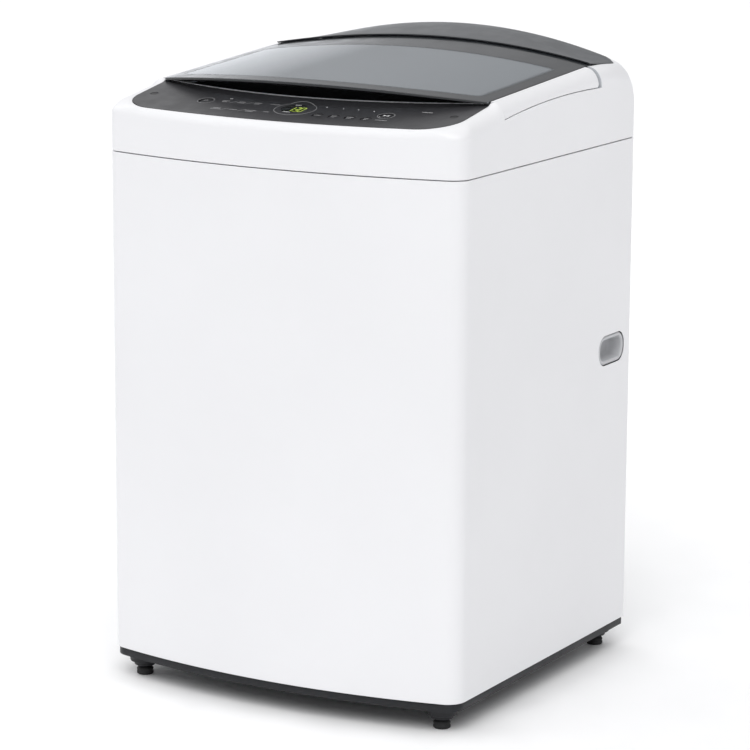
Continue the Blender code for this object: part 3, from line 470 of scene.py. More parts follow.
def brushed(name, colour, rough, stretch, depth=0.00001, metal=1.0):
    """Rolled or brushed steel: long fine streaks in tone, gloss and height."""
    n = Nodes(name)
    streaks = n.noise(1.0, 5.0, stretch, 0.7)
    n.to("Base Color", n.tint(streaks, scaled(colour, 0.88), scaled(colour, 1.06)))
    n.to("Metallic", metal)
    n.to("Roughness", n.spread(streaks, rough - 0.08, rough + 0.10))
    n.to("Normal", n.relief(streaks, depth))
    return n.material


def galvanised(name, colour, rough):
    """Zinc-coated sheet: crystal patches that differ in tone and gloss."""
    n = Nodes(name)
    patch = n.cells(230.0)
    grey = n.new("ShaderNodeSeparateColor", {"Color": patch.outputs["Color"]}).outputs["Red"]
    n.to("Base Color", n.tint(grey, scaled(colour, 0.95), scaled(colour, 1.03)))
    n.to("Metallic", 0.85)
    n.to("Roughness", n.spread(grey, rough - 0.04, rough + 0.04, 0.0, 1.0))
    n.to("Normal", n.relief(n.noise(420.0), 0.00001))
    return n.material


def rubbery(name, colour, rough=0.75):
    """Matt rubber with a powdery bloom."""
    n = Nodes(name)
    bloom = n.noise(60.0, 6.0)
    n.to("Base Color", n.tint(bloom, scaled(colour, 0.75), scaled(colour, 1.4)))
    n.to("Roughness", n.spread(bloom, rough - 0.08, rough + 0.10))
    n.to("Normal", n.relief(n.noise(900.0, 4.0), 0.00004))
    return n.material


def clear_glass(name, colour, rough=0.03):
    """Tinted tempered glass with the faintest waviness and wiped marks."""
    n = Nodes(name)
    n.to("Base Color", n.tint(n.noise(2.0), scaled(colour, 0.97), colour))
    n.to("Transmission Weight", 0.62)
    n.to("IOR", 1.5)
    n.to("Roughness", n.spread(n.noise(7.0, 6.0, (1.0, 3.0, 1.0)), rough * 0.5, rough * 2.0))
    n.to("Normal", n.relief(n.noise(5.0, 1.0), 0.0004, 0.15))
    return n.material


def lit(name, colour, strength):
    """A lit display segment, slightly uneven in brightness."""
    n = Nodes(name)
    glow = n.noise(240.0, 1.0)
    n.to("Base Color", n.tint(glow, scaled(colour, 0.5), scaled(colour, 0.6)))
    n.to("Emission Color", n.tint(glow, scaled(colour, 0.8), colour))
    n.to("Emission Strength", strength)
    n.to("Roughness", n.spread(glow, 0.35, 0.5))
    return n.material


def wound(name, colour):
    """Lacquered copper wire, wound in close turns."""
    n = Nodes(name)
    turns = n.new("ShaderNodeTexWave", {"Vector": n.place, "Scale": 260.0, "Distortion": 0.6},
                  bands_direction="Z").outputs["Fac"]
    n.to("Base Color", n.tint(turns, scaled(colour, 0.55), scaled(colour, 1.1)))
    n.to("Metallic", 0.9)
    n.to("Roughness", n.spread(turns, 0.3, 0.5))
    n.to("Normal", n.relief(turns, 0.0003))
    return n.material


WHITE_STEEL = painted("white_enamel", (0.785, 0.785, 0.80), 0.32)
WHITE_PLASTIC = painted("white_moulding", (0.79, 0.79, 0.805), 0.33, 0.000002)
GREY_PLASTIC = moulded("grey_moulding", (0.56, 0.58, 0.61), 0.42, drift=0.03)
# Painted shade: the grip cups are white mouldings, given a mid grey for the shade in their hollows.
CUP_SHADE_GREY = moulded("grip_cup_painted_shade", (0.50, 0.505, 0.52), 0.45, drift=0.03)
DARK_FRAME = moulded("dark_grey_moulding", (0.030, 0.031, 0.034), 0.40)
LIGHT_PLASTIC = moulded("light_grey_moulding", (0.66, 0.67, 0.69), 0.38, drift=0.03)
DECK_PLASTIC = moulded("deck_moulding", (0.064, 0.068, 0.074), 0.33, 2200.0, 0.000001, 0.70)
PANEL_PLASTIC = moulded("panel_film", (0.034, 0.034, 0.037), 0.40, 1400.0, 0.000006, 0.45)
BORDER_PRINT = moulded("border_print", (0.018, 0.020, 0.023), 0.14, 3000.0, 0.000001, 0.40)
BLACK_PLASTIC = moulded("black_moulding", (0.012, 0.012, 0.013), 0.50)
RECESS_PLASTIC = moulded("recess_moulding", (0.004, 0.004, 0.0045), 0.60, specular=0.2)
BASE_PLASTIC = moulded("base_moulding", (0.0065, 0.007, 0.0095), 0.50, 900.0, 0.00001, 0.40)
SILVER = brushed("satin_silver", (0.90, 0.90, 0.91), 0.38, (60.0, 900.0, 900.0), 0.000002, 0.55)
GLASS_LOOK = clear_glass("tinted_glass", (0.36, 0.40, 0.435))
DISPLAY_LOOK = moulded("display_window", (0.006, 0.007, 0.006), 0.10, 3000.0, 0.000001)
STAINLESS = brushed("stainless_drum", (0.72, 0.72, 0.73), 0.36, (4.0, 4.0, 900.0))
SHAFT_STEEL = brushed("ground_steel", (0.66, 0.66, 0.67), 0.37, (300.0, 300.0, 20.0))
ZINC = galvanised("zinc_sheet", (0.62, 0.64, 0.66), 0.42)
CAST_METAL = moulded("cast_alloy", (0.42, 0.43, 0.44), 0.5, 500.0, 0.0001)
RUBBER = rubbery("black_rubber", (0.012, 0.012, 0.013))
COPPER = wound("copper_winding", (0.72, 0.33, 0.16))
CIRCUIT = moulded("potting_resin", (0.03, 0.16, 0.07), 0.34, 300.0, 0.00005)
PRINT_WHITE = moulded("white_print", (0.70, 0.70, 0.70), 0.5, 2500.0, 0.000002)
PRINT_GREY = moulded("grey_print", (0.34, 0.34, 0.345), 0.5, 2500.0, 0.000001)
DIGIT_LOOK = lit("lit_digit", (0.52, 0.68, 0.10), 0.55)
LAMP_LOOK = lit("lit_lamp", (0.95, 0.97, 1.0), 0.5)
BLUE_PLASTIC = moulded("blue_moulding", (0.03, 0.11, 0.42), 0.4)
RED_PLASTIC = moulded("red_moulding", (0.45, 0.03, 0.03), 0.4)

# ---------------------------------------------------------------- shared surfaces

FRONT_STEPS = 30
CORNER_STEPS = 12
SIDE_STEPS = 40
REAR_CORNER_STEPS = 8
REAR_STEPS = 16
INSIDE_TURN = 0.0004


def outer_half(inset=0.0):
    """Right half of the cabinet's outline, from the middle of the front to that of the back."""
    centre_y = FRONT_APEX_Y + FRONT_RADIUS
    corner_x = HALF_WIDTH - CORNER_RADIUS
    corner_y = centre_y - math.sqrt((FRONT_RADIUS - CORNER_RADIUS) ** 2 - corner_x**2)
    lean = math.degrees(math.asin(corner_x / (FRONT_RADIUS - CORNER_RADIUS)))
    back_corner = max(BACK_RADIUS - inset, INSIDE_TURN)
    front = arc((0.0, centre_y), FRONT_RADIUS - inset, -90, -90 + lean, FRONT_STEPS)
    bend = arc((corner_x, corner_y), CORNER_RADIUS - inset, -90 + lean, 0, CORNER_STEPS)
    rear_y = BACK_Y - inset - back_corner
    side = [(HALF_WIDTH - inset, y) for y in even(corner_y, rear_y, SIDE_STEPS)]
    rear = arc((HALF_WIDTH - inset - back_corner, rear_y), back_corner, 0, 90, REAR_CORNER_STEPS)
    end = [(x, BACK_Y - inset) for x in even(rear[-1][0], 0.0, REAR_STEPS)]
    return front + bend[1:] + side[1:] + rear[1:] + end[1:]


def rim_half():
    """Right half of the rim's inner edge, with the same stations as outer_half()."""
    corner_x = LID_EDGE_X - RIM_CORNER
    xs = even(0.0, corner_x, FRONT_STEPS)
    front = [(x, RIM_FRONT_Y + RIM_FRONT_BOW * x * x) for x in xs]
    lean = math.atan(2 * RIM_FRONT_BOW * corner_x)
    centre_x = corner_x - RIM_CORNER * math.sin(lean)
    corner_y = front[-1][1] + RIM_CORNER * math.cos(lean)
    reach = (LID_EDGE_X - centre_x) / RIM_CORNER
    bend = [(centre_x + (x - centre_x) * (1 + (reach - 1) * i / CORNER_STEPS), y) for i, (x, y) in
            enumerate(arc((centre_x, corner_y), RIM_CORNER, math.degrees(lean) - 90, 0, CORNER_STEPS))]
    rear_y = RIM_REAR_Y - RIM_REAR_CORNER
    side = [(LID_EDGE_X, y) for y in even(corner_y, rear_y, SIDE_STEPS)]
    rear = arc((LID_EDGE_X - RIM_REAR_CORNER, rear_y), RIM_REAR_CORNER, 0, 90, REAR_CORNER_STEPS)
    end = [(x, RIM_REAR_Y) for x in even(rear[-1][0], 0.0, REAR_STEPS)]
    return front + bend[1:] + side[1:] + rear[1:] + end[1:]


def panel_height(y):
    return PANEL_EDGE_Z + PANEL_SLOPE * (y - PANEL_EDGE_Y)


def glass_height(x, y):
    """Top of the lid's glass: it climbs to the rear and is crowned from side to side."""
    return LID_REAR_Z + LID_SLOPE * (y - LIP_Y) - CROWN * x * x


def crest_height(x):
    return CREST_Z - CREST_CROWN * x * x


def lip_y(x):
    return LIP_Y - LIP_BOW * x * x


def lid_front_y(x):
    return LID_FRONT_Y + LID_FRONT_BOW * x * x


def trim_y(x):
    return TRIM_Y + TRIM_BOW * x * x


def trim_height(x):
    return TRIM_Z + 0.05 * x * x


def rim_height(x, y):
    """Height of the rim's inner edge, which meets the panel, the lid and then the deck."""
    if y < trim_y(TRIM_HALF):
        return panel_height(y)
    glass = glass_height(x, y)
    if y < CAP_REAR_Y:
        return glass
    share = min(1.0, (y - CAP_REAR_Y) / (RIM_REAR_Y - CAP_REAR_Y))
    return glass * (1.0 - share) + (crest_height(x) - 0.003) * share


def shoulder_drop(x, y):
    """How far below its inner edge the rim starts to round over."""
    rear = max(0.0, (y - CAP_REAR_Y) / (RIM_REAR_Y - CAP_REAR_Y))
    front = min(1.0, max(0.0, (-0.20 - y) / 0.06))
    corner = min(1.0, abs(x) / LID_EDGE_X)
    side = SIDE_SHOULDER + REAR_SHOULDER * min(rear, 1.0) ** 2 * corner**2
    return side * (1.0 - front) + FRONT_SHOULDER * front


def seam_height(y):
    """Seam between the lid's side cap and the top cover's wall."""
    return CAP_SEAM_Z - CAP_SEAM_BOW * (y - CAP_SEAM_Y) ** 2


def round_over(outer, inner, start_z, end_z, start_share=0.0):
    """Points from a wall over a quarter-ellipse to the rim's inner edge."""
    points = []
    for i in range(OVER_STEPS + 1):
        a = (start_share + (1.0 - start_share) * i / OVER_STEPS) * math.pi / 2
        across = 1.0 - math.cos(a)
        points.append((outer[0] + (inner[0] - outer[0]) * across,
                       outer[1] + (inner[1] - outer[1]) * across,
                       start_z + (end_z - start_z) * math.sin(a)))
    return points


def side_place(side):
    """Turns an outline drawn in (Y, Z) so that it lies on a side of the cabinet."""
    turn = Matrix(((0, 0, 1), (1, 0, 0), (0, 1, 0))).to_4x4()
    return Matrix.Translation((side * HALF_WIDTH, 0, 0)) @ turn


# ---------------------------------------------------------------- cabinet

GRIP_Y = 0.209
GRIP_Z = 0.479
GRIP_LENGTH = 0.086
GRIP_HEIGHT = 0.046
GRIP_RADIUS = GRIP_HEIGHT * 0.45
SHEET = 0.0009              # thickness of the cabinet's steel
HEM = 0.0012                # radius of the cabinet's folded edges
HEM_WIDTH = 0.009
RETURN_X = 0.266            # where the sides' folds end on the back


def hem(inwards, level, towards):
    """Insets and heights that turn a wall's edge inwards over a small radius."""
    rows = [(inwards, level)]
    for i in range(5):
        a = math.radians(90 - 22.5 * i)
        rows.append((HEM * (1 - math.cos(a)), level + towards * HEM * (1 - math.sin(a))))
    return rows


def grip_ring(inset=0.0):
    """Outline of a grip's slot, in Y and Z."""
    return rounded_box(GRIP_Y - GRIP_LENGTH / 2 + inset, GRIP_Y + GRIP_LENGTH / 2 - inset,
                       GRIP_Z - GRIP_HEIGHT / 2 + inset, GRIP_Z + GRIP_HEIGHT / 2 - inset,
                       max(0.0015, GRIP_RADIUS - inset))


def cabinet_panel():
    """The folded steel wrapper: bowed front, rolled corners, hemmed edges and grip slots."""
    top = SEAM_Z - 0.0007
    rows = hem(HEM_WIDTH, CABINET_BOTTOM, 1)
    rows += [(0.0, z) for z in even(CABINET_BOTTOM + 0.02, top - 0.02, 12)]
    rows += reversed(hem(HEM_WIDTH, top, -1))
    rings = []
    for inset, z in rows:
        half = outer_half(inset)[:-REAR_STEPS]
        half.append((RETURN_X, BACK_Y - inset))
        rings.append([(-x, y, z) for x, y in reversed(half[1:])] + [(x, y, z) for x, y in half])
    cutters = [moved(plate(grip_ring(), -0.006, 0.006), side_place(side)) for side in (-1, 1)]
    data = boolean(skin(rings, SHEET, round_edge=0), "DIFFERENCE", *cutters)
    made = add("cabinet_panel", data, WHITE_STEEL, "root", ["cabinet_shell"], 40)
    weigh_normals(made)


def hand_grip(name, side):
    """A moulded cup in the cabinet's slot, with a rolled lip and a rounded floor."""
    depth = 0.0245
    quarter = [(1 - math.cos(math.radians(15 * i)), math.sin(math.radians(15 * i))) for i in range(1, 7)]
    levels = [(0.0007, 0.0040)]
    levels += [(0.0007 + 0.0036 * start, 0.0040 - 0.0038 * end) for start, end in quarter]
    levels += [(0.0043 + 0.0030 * end, 0.0002 + 0.0030 * start) for start, end in quarter]
    levels.append((0.0082, depth - 0.006))
    levels += [(0.0082 + 0.006 * start, depth - 0.006 + 0.006 * end) for start, end in quarter]
    levels.append((0.0205, depth))
    rows = [[(side * (HALF_WIDTH - level), y, z) for y, z in grip_ring(inset)]
            for inset, level in levels]
    if side > 0:
        rows = [list(reversed(row)) for row in rows]
    columns = len(rows[0])
    faces = grid_faces(len(rows), columns, True)
    last = (len(rows) - 1) * columns
    faces.append(tuple(range(last, last + columns)))
    sheet = helper(mesh_of([p for row in rows for p in row], faces))
    solid = sheet.modifiers.new("solidify", "SOLIDIFY")
    solid.thickness = 0.0014
    solid.offset = 1.0
    # The cup's grey is painted shade for its hollow, not the colour of the moulding.
    add(name + "_cup", settled(sheet), CUP_SHADE_GREY, "root", [name])


def base_tray():
    """The moulded base: a flanged edge under the cabinet, ribs, and a stepped boss for each foot."""
    top = CABINET_BOTTOM - GAP
    bottom = 0.033
    outline = mirrored(outer_half(0.003))
    opening = circle(0.0, 0.0, 0.170, 96)
    floor = plate(outline, bottom, top, [opening], 0.0012)
    rib = boxes(((0.176, -0.001, bottom - 0.006), (0.235, 0.001, bottom + 0.002)), rounding=0.0005)
    ribs = around(rib, 24, 0.5)
    ring = turned([(0.176, bottom + 0.001), (0.176, bottom - 0.006), (0.173, bottom - 0.006),
                   (0.173, bottom + 0.001)], rounding=0.0005)
    add("base_tray", joined(floor, ring, *ribs), BASE_PLASTIC, "root", ["base_frame"])
    profile = [(0.0300, 0.0345), (0.0265, 0.0325), (0.0240, 0.0295), (0.0225, 0.0250), (0.0220, 0.0215),
               (0.0185, 0.0205), (0.0170, 0.0195), (0.0163, 0.0175), (0.0160, 0.0157), (0.0150, 0.0147),
               (0.0068, 0.0147), (0.0068, 0.0345)]
    for name, x, y in FEET:
        data = turned(profile, 64, place=Matrix.Translation((x, y, 0.0)), rounding=0.0006)
        add(name + "_boss", data, BASE_PLASTIC, "root")


def centre_of(node):
    """Middle of a CAD node's box in X and Y."""
    low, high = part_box(node)
    return (low.x + high.x) / 2, (low.y + high.y) / 2


def levels_of(node):
    """Lowest and highest level of a CAD node's box."""
    low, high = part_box(node)
    return low.z, high.z


CORNERS = ("front_left", "front_right", "rear_left", "rear_right")
FEET = [(f"foot_{corner}", *centre_of(f"foot_{corner}")) for corner in CORNERS]
PAD_RADIUS = (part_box("foot_front_left")[1].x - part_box("foot_front_left")[0].x) / 2
THREAD_PITCH = 0.0016


def levelling_foot(name, x, y):
    """A ribbed pad on a threaded stem."""
    profile = [(0.0, 0.0428), (0.0048, 0.0428)]
    threads = 18
    for i in range(threads):
        z = 0.0418 - i * THREAD_PITCH
        profile += [(0.0060, z - 0.0004), (0.0051, z - 0.0012)]
    profile += [(0.0055, 0.0125), (PAD_RADIUS * 0.80, 0.0112), (PAD_RADIUS * 0.96, 0.0095),
                (PAD_RADIUS, 0.0080), (PAD_RADIUS * 0.94, 0.0066), (PAD_RADIUS * 0.94, 0.0052),
                (PAD_RADIUS, 0.0040), (PAD_RADIUS, 0.0014), (PAD_RADIUS - 0.0012, 0.0001),
                (PAD_RADIUS * 0.55, 0.0001), (PAD_RADIUS * 0.5, 0.0009), (0.0, 0.0009)]
    data = turned(profile, 64, closed=False, place=Matrix.Translation((x, y, 0.0)))
    add(name + "_pad", data, RUBBER, name, [name], 50)


# ---------------------------------------------------------------- moulded top

WALL_BOTTOM_Z = SEAM_Z + 0.0007
MOULDING = 0.0022


def cover_shell():
    """The cover's wall and rounded rim, with a hem at the seam and a turned-down inner edge."""
    bottom = hem(0.008, WALL_BOTTOM_Z, 1)
    rings = [mirrored(outer_half(inset)) for inset, _ in bottom]
    outer, inner = mirrored(outer_half()), mirrored(rim_half())
    columns = []
    for i, (p, q) in enumerate(zip(outer, inner)):
        top = rim_height(*q)
        start = top - shoulder_drop(*q)
        column = [(*ring[i], z) for ring, (_, z) in zip(rings, bottom)]
        column += [(p[0], p[1], WALL_BOTTOM_Z + (start - WALL_BOTTOM_Z) * s)
                   for s in (0.15, 0.3, 0.45, 0.6, 0.75, 0.9)]
        column += round_over(p, q, start, top)[:-1]
        column += [(q[0], q[1], top - 0.0004), (q[0], q[1], top - 0.0045)]
        columns.append(column)
    rows = [list(row) for row in zip(*columns)]
    data = skin(rows, MOULDING, True, 0)
    cutters = [cap_notch(side) for side in (-1, 1)]
    for _, x in VALVES:
        cutters.append(bore(0.0136, 48, along_y(x, 0.275, VALVE_Z)))
    data = boolean(data, "DIFFERENCE", *cutters)
    made = add("cover_shell", data, WHITE_PLASTIC, "root", ["top_cover"], 40)
    weigh_normals(made)


def cap_notch(side):
    """The space in the rim and wall that the lid's side cap fills."""
    front_y, rear_y = CAP_FRONT_Y - 0.0011, CAP_REAR_Y + 0.0105
    bottom = [(y, seam_height(min(y, CAP_REAR_Y)) - 0.0004) for y in even(front_y, rear_y, 40)]
    outline = bottom + [(rear_y, 0.97), (front_y, 0.97)]
    return moved(plate(outline, -0.026, 0.026), side_place(side))


def cover_inside():
    """Ledge, rolled loading mouth, rear wall, hinge lugs and the returns beside the lid's caps."""
    reach_front = -0.1665
    ledge_outline = [(x, max(y, reach_front)) for x, y in mirrored(outer_half(0.0026)) if y > -0.19]
    mouth = [(0.0085, 0.0), (0.0060, -0.0003), (0.0035, -0.0013), (0.0015, -0.0032), (0.0004, -0.0058),
             (0.0, -0.0090), (0.0, -0.0300), (0.0, FUNNEL_BOTTOM - LEDGE_Z + 0.0002)]
    inner = opening_ring(0.0084)
    ledge = plate(ledge_outline, LEDGE_Z - 0.0022, LEDGE_Z, [inner])
    rows = [[(x, y, LEDGE_Z + 0.0001 + drop) for x, y in opening_ring(grow)] for grow, drop in mouth]
    rows = [list(reversed(row)) for row in rows]
    funnel = skin(rows, 0.0019, True, 0.0004)
    slot_low, slot_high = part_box("detergent_drawer")
    slot = boxes(((slot_low.x - 0.0008, OPENING_REAR_Y - 0.012, slot_low.z - 0.0008),
                  (slot_high.x + 0.0008, OPENING_REAR_Y + 0.012, slot_high.z + 0.0008)), rounding=0.0015)
    funnel = boolean(funnel, "DIFFERENCE", slot)
    wall = boxes(((-0.2600, DECK_WALL_Y, LEDGE_Z - 0.001), (0.2600, DECK_WALL_Y + 0.0024, 0.9045)),
                 rounding=0.0008)
    ribs = [((x - 0.0008, DECK_WALL_Y + 0.002, LEDGE_Z), (x + 0.0008, DECK_WALL_Y + 0.014, 0.9000))
            for x in even(-0.24, 0.24, 8)]
    add("loading_ledge", joined(ledge, wall, boxes(*ribs, rounding=0.0003)), WHITE_PLASTIC, "root")
    weigh_normals(add("loading_mouth", funnel, WHITE_PLASTIC, "root"))
    for end, side in ENDS:
        add(f"hinge_lug_{end}", hinge_lug(side), WHITE_PLASTIC, "root")
        add(f"cap_sill_{end}", cap_sill(side), WHITE_PLASTIC, "root")
        # The returns take the grey moulding as painted shade for white faces in shadow.
        add(f"shoulder_return_{end}", shoulder_return(side), GREY_PLASTIC, "root")


def opening_ring(grow):
    return rounded_box(-OPENING_X - grow, OPENING_X + grow, OPENING_FRONT_Y - grow, OPENING_REAR_Y + grow,
                       OPENING_CORNER + grow, 12)


def hinge_lug(side):
    """A lug with a round head, standing on the ledge."""
    radius = 0.0055
    head = arc((HINGE_Y, HINGE_Z), radius, 0, 180, 24)
    outline = head + [(HINGE_Y - radius, LEDGE_Z - 0.001), (HINGE_Y + radius, LEDGE_Z - 0.001)]
    hole = circle(HINGE_Y, HINGE_Z, 0.0044, 32)
    middle = side * (LUG_INNER_X + LUG_OUTER_X) / 2
    half = (LUG_OUTER_X - LUG_INNER_X) / 2
    data = plate(outline, -half, half, [hole], 0.0006)
    return moved(data, Matrix.Translation((middle - side * HALF_WIDTH, 0, 0)) @ side_place(side))


def cap_sill(side):
    """The step under a side cap, from the wall's cut edge down to the ledge."""
    rows = []
    across = [(0.2922, -0.0012), (0.2880, -0.0020), (0.2800, -0.0045), (0.2720, -0.0085),
              (0.2670, -0.0130), (0.2650, -0.0180)]
    ys = even(CAP_FRONT_Y - 0.004, CAP_REAR_Y + 0.011, 30)
    for x, drop in across:
        rows.append([(side * x, y, max(LEDGE_Z + 0.0004, seam_height(min(y, CAP_REAR_Y)) + drop))
                     for y in ys])
    if side < 0:
        rows.reverse()
    return skin(rows, 0.0015)


def shoulder_return(side):
    """The face behind a side cap: the rim's cross-section carried inwards. Its grey moulding is painted
    shade; the real face is white plastic in shadow.
    """
    y = CAP_REAR_Y + 0.0108
    top = rim_height(LID_EDGE_X, y)
    outer = round_over((HALF_WIDTH, y), (LID_EDGE_X, y), top - shoulder_drop(LID_EDGE_X, y), top)
    outer = [(HALF_WIDTH, y, seam_height(CAP_REAR_Y) - 0.001)] + outer
    rows = []
    for inwards in (0.0004, 0.004, 0.009, 0.014):
        rows.append([(side * max(x - inwards * 0.9, LID_EDGE_X - 0.0004), y, z - inwards * 0.55)
                     for x, y, z in outer])
    if side > 0:
        rows.reverse()
    return skin(rows, 0.0012, round_edge=0.0002)


def deck():
    """The dark cover behind the lid: front lip, crest and rear edge, with a black strip under its lip as
    painted shade for the gap over the glass.
    """
    clear = 0.0011
    steps = 60
    grid = []
    for share in even(0.0, 1.0, 16):
        row = []
        for u in even(-1.0, 1.0, steps):
            half_here = LID_EDGE_X - clear
            guess_y = lip_y(u * half_here) + (CREST_Y - lip_y(u * half_here)) * share
            over = max(0.0, guess_y - (RIM_REAR_Y - RIM_REAR_CORNER) + 0.003)
            bend = RIM_REAR_CORNER - math.sqrt(max(0.0, RIM_REAR_CORNER**2 - over**2))
            x = u * (half_here - bend)
            y = lip_y(x) + (CREST_Y - lip_y(x)) * share
            front_z = glass_height(x, lip_y(x)) + LIP_HEIGHT
            rise = crest_height(x) - front_z
            row.append((x, y, front_z + rise * math.sin(share * math.pi / 2) ** 0.8))
        grid.append(row)
    lip = [[(x, y + 0.0004, z - drop) for x, y, z in grid[0]] for drop in (LIP_HEIGHT - SEAM, 0.0006)]
    last = grid[-1]
    edge = [[(x, y + 0.0018, z - 0.0005) for x, y, z in last],
            [(x * 0.998, RIM_REAR_Y - clear, z - 0.0016) for x, y, z in last],
            [(x * 0.998, RIM_REAR_Y - clear, z - 0.0045) for x, y, z in last]]
    add("deck_cover", skin(lip + grid + edge, 0.0012, round_edge=0.0004), DECK_PLASTIC, "root",
        ["rear_deck_cover"])
    xs = even(-LID_EDGE_X + 0.0016, LID_EDGE_X - 0.0016, steps)
    gap_shade_rows = [[(x, lip_y(x) + back, glass_height(x, lip_y(x)) + z) for x in xs]
            for back, z in ((0.0022, SEAM + 0.0006), (0.0018, SEAM - 0.0002), (0.0022, 0.0009),
                            (0.0046, 0.0009))]
    gap_shade_rows.reverse()
    # Painted shade: this black strip stands in for the shadow in the gap between the lip and the glass.
    add("deck_gap_shade", skin(gap_shade_rows, 0.0008, round_edge=0), RECESS_PLASTIC, "root")


# ---------------------------------------------------------------- control panel

BUTTONS = {
    "power_button": (-0.151, -0.2215, 0.0110), "start_button": (0.151, -0.2265, 0.0110),
    "option_button_1": (0.052, -0.247, 0.0085), "option_button_2": (0.078, -0.247, 0.0085),
    "option_button_3": (0.104, -0.247, 0.0085), "option_button_4": (0.130, -0.247, 0.0085),
}
DISPLAY = (0.0, -0.2265, 0.0185)
RING_CENTRE = (0.0040, -0.2290)
RING_HALF_WIDTH = 0.0320
RING_HALF_DEPTH = 0.0275
DIGIT_HEIGHT = 0.0180
PLUG_X, PLUG_Y = 0.249, -0.2085
PRINT = 0.00012             # thickness of the ink
CYCLE_LABELS = (
    (-0.1195, -0.2190, (0.0125, 0.0080)), (-0.0920, -0.2187, (0.0115, 0.0125)),
    (-0.0655, -0.2181, (0.0125, 0.0090)), (-0.0370, -0.2165, (0.0160,)),
    (-0.1140, -0.2525, (0.0125, 0.0165)), (-0.0855, -0.2524, (0.0135,)),
    (-0.0570, -0.2526, (0.0190, 0.0125)), (-0.0310, -0.2510, (0.0095,)),
)
CYCLE_SLASHES = ((-0.1050, -0.2197), (-0.0785, -0.2189), (-0.1000, -0.2525), (-0.0710, -0.2524))
TILT = Matrix(((1, 0, 0, 0), (0, 1, 0, 0), (0, PANEL_SLOPE, 1, 0), (0, 0, 0, 1)))
TO_PANEL = Matrix.Translation((0, 0, panel_height(0.0))) @ TILT


def fascia():
    """The sloping panel and the facet that rises from it to the trim."""
    clear = 0.0007
    half = [(x, y) for x, y in rim_half() if y < trim_y(TRIM_HALF) - 0.004 and y < 0.0]
    half.append((LID_EDGE_X, trim_y(TRIM_HALF) - 0.003))
    count = len(half) - 1
    stations = []
    for i, (x, y) in enumerate(half):
        trim_x = TRIM_HALF * (i / count)
        inwards = clear * min(1.0, i / 4)
        forwards = clear if i < FRONT_STEPS + CORNER_STEPS - 1 else 0.0
        stations.append(((x - inwards, y + forwards), trim_x))
    left = [((-edge[0], edge[1]), -trim_x) for edge, trim_x in reversed(stations[1:])]
    slope = (0.0, 0.02, 0.2, 0.4, 0.6, 0.8, 0.985, 1.0)
    facet = (0.06, 0.94, 1.0)
    rows = [[] for _ in slope + facet]
    for (edge_x, edge_y), trim_x in left + stations:
        low_y = facet_foot(trim_x)
        low_z = min(panel_height(low_y), trim_height(trim_x) - 0.0004)
        for row, share in zip(rows, slope):
            x = edge_x + (trim_x - edge_x) * share
            y = edge_y + (low_y - edge_y) * share
            row.append((x, y, panel_height(edge_y) * (1 - share) + low_z * share))
        for row, share in zip(rows[len(slope):], facet):
            y = low_y + (trim_y(trim_x) - low_y) * share
            row.append((trim_x, y, low_z + (trim_height(trim_x) - low_z) * share))
    data = skin(rows, 0.0020, round_edge=0.0003)
    holes = [panel_disc(x, y, radius + 0.00025, -0.02, 0.01) for x, y, radius in BUTTONS.values()]
    holes += [panel_disc(*DISPLAY[:2], DISPLAY[2] + 0.0003, -0.02, 0.01)]
    holes += [panel_disc(side * PLUG_X, PLUG_Y, 0.0062, -0.0011, 0.01) for side in (-1, 1)]
    data = boolean(data, "DIFFERENCE", *holes)
    made = add("panel_fascia", data, PANEL_PLASTIC, "root", ["control_fascia"], 28)
    weigh_normals(made)
    for end, side in ENDS:
        plug = panel_disc(side * PLUG_X, PLUG_Y, 0.0059, -0.0018, -0.0005, 0.0003)
        add(f"screw_plug_{end}", plug, BLACK_PLASTIC, "root")


def facet_foot(x):
    """Where the panel's facet starts to rise to the trim."""
    step = 0.012 * max(0.0, 1.0 - (x / 0.23) ** 2) + 0.0012
    return trim_y(x) - step


def fascia_height(x, y):
    foot_y = facet_foot(x)
    if y <= foot_y:
        return panel_height(y)
    foot_z = min(panel_height(foot_y), trim_height(x) - 0.0004)
    return foot_z + (trim_height(x) - foot_z) * (y - foot_y) / (trim_y(x) - foot_y)


def panel_disc(x, y, radius, low, high, rounding=0.0):
    """A round piece on the panel's slope, between two heights along the vertical."""
    return moved(plate(circle(x, y, radius, 64), low, high, rounding=rounding), TO_PANEL)


def on_panel(shapes, low=0.0, high=PRINT):
    """Flat shapes printed on the panel: each an outline, or an outline and its holes."""
    parts = []
    for shape in shapes:
        outline, holes = shape if isinstance(shape, tuple) else (shape, [])
        parts.append(plate(outline, low, high, holes))
    return moved(joined(*parts), TO_PANEL)


def ring_shape(x, y, radius, width):
    return circle(x, y, radius, 96), [circle(x, y, radius - width, 96)]


def bar(x, y, length, width=0.0009):
    return rounded_box(x - length / 2, x + length / 2, y - width / 2, y + width / 2, width * 0.3, 2)


def label(x, y, lengths, pitch=0.0046, height=0.0030):
    """Rows of small blocks that stand where the real panel has a label."""
    shapes = []
    for row, length in enumerate(lengths):
        level = y + pitch * ((len(lengths) - 1) / 2 - row)
        start, count = x - length / 2, max(2, round(length / 0.0021))
        step = length / count
        for i in range(count):
            width = step * (0.52 + 0.22 * ((i * 5 + row * 3) % 4) / 3)
            shapes.append(bar(start + step * (i + 0.5), level, width, height))
    return shapes


SEGMENTS = {"0": "abcdef", "1": "bc", "2": "abged", "3": "abgcd", "4": "fgbc", "5": "afgcd",
            "6": "afgedc", "7": "abc", "8": "abcdefg", "9": "abcdfg"}


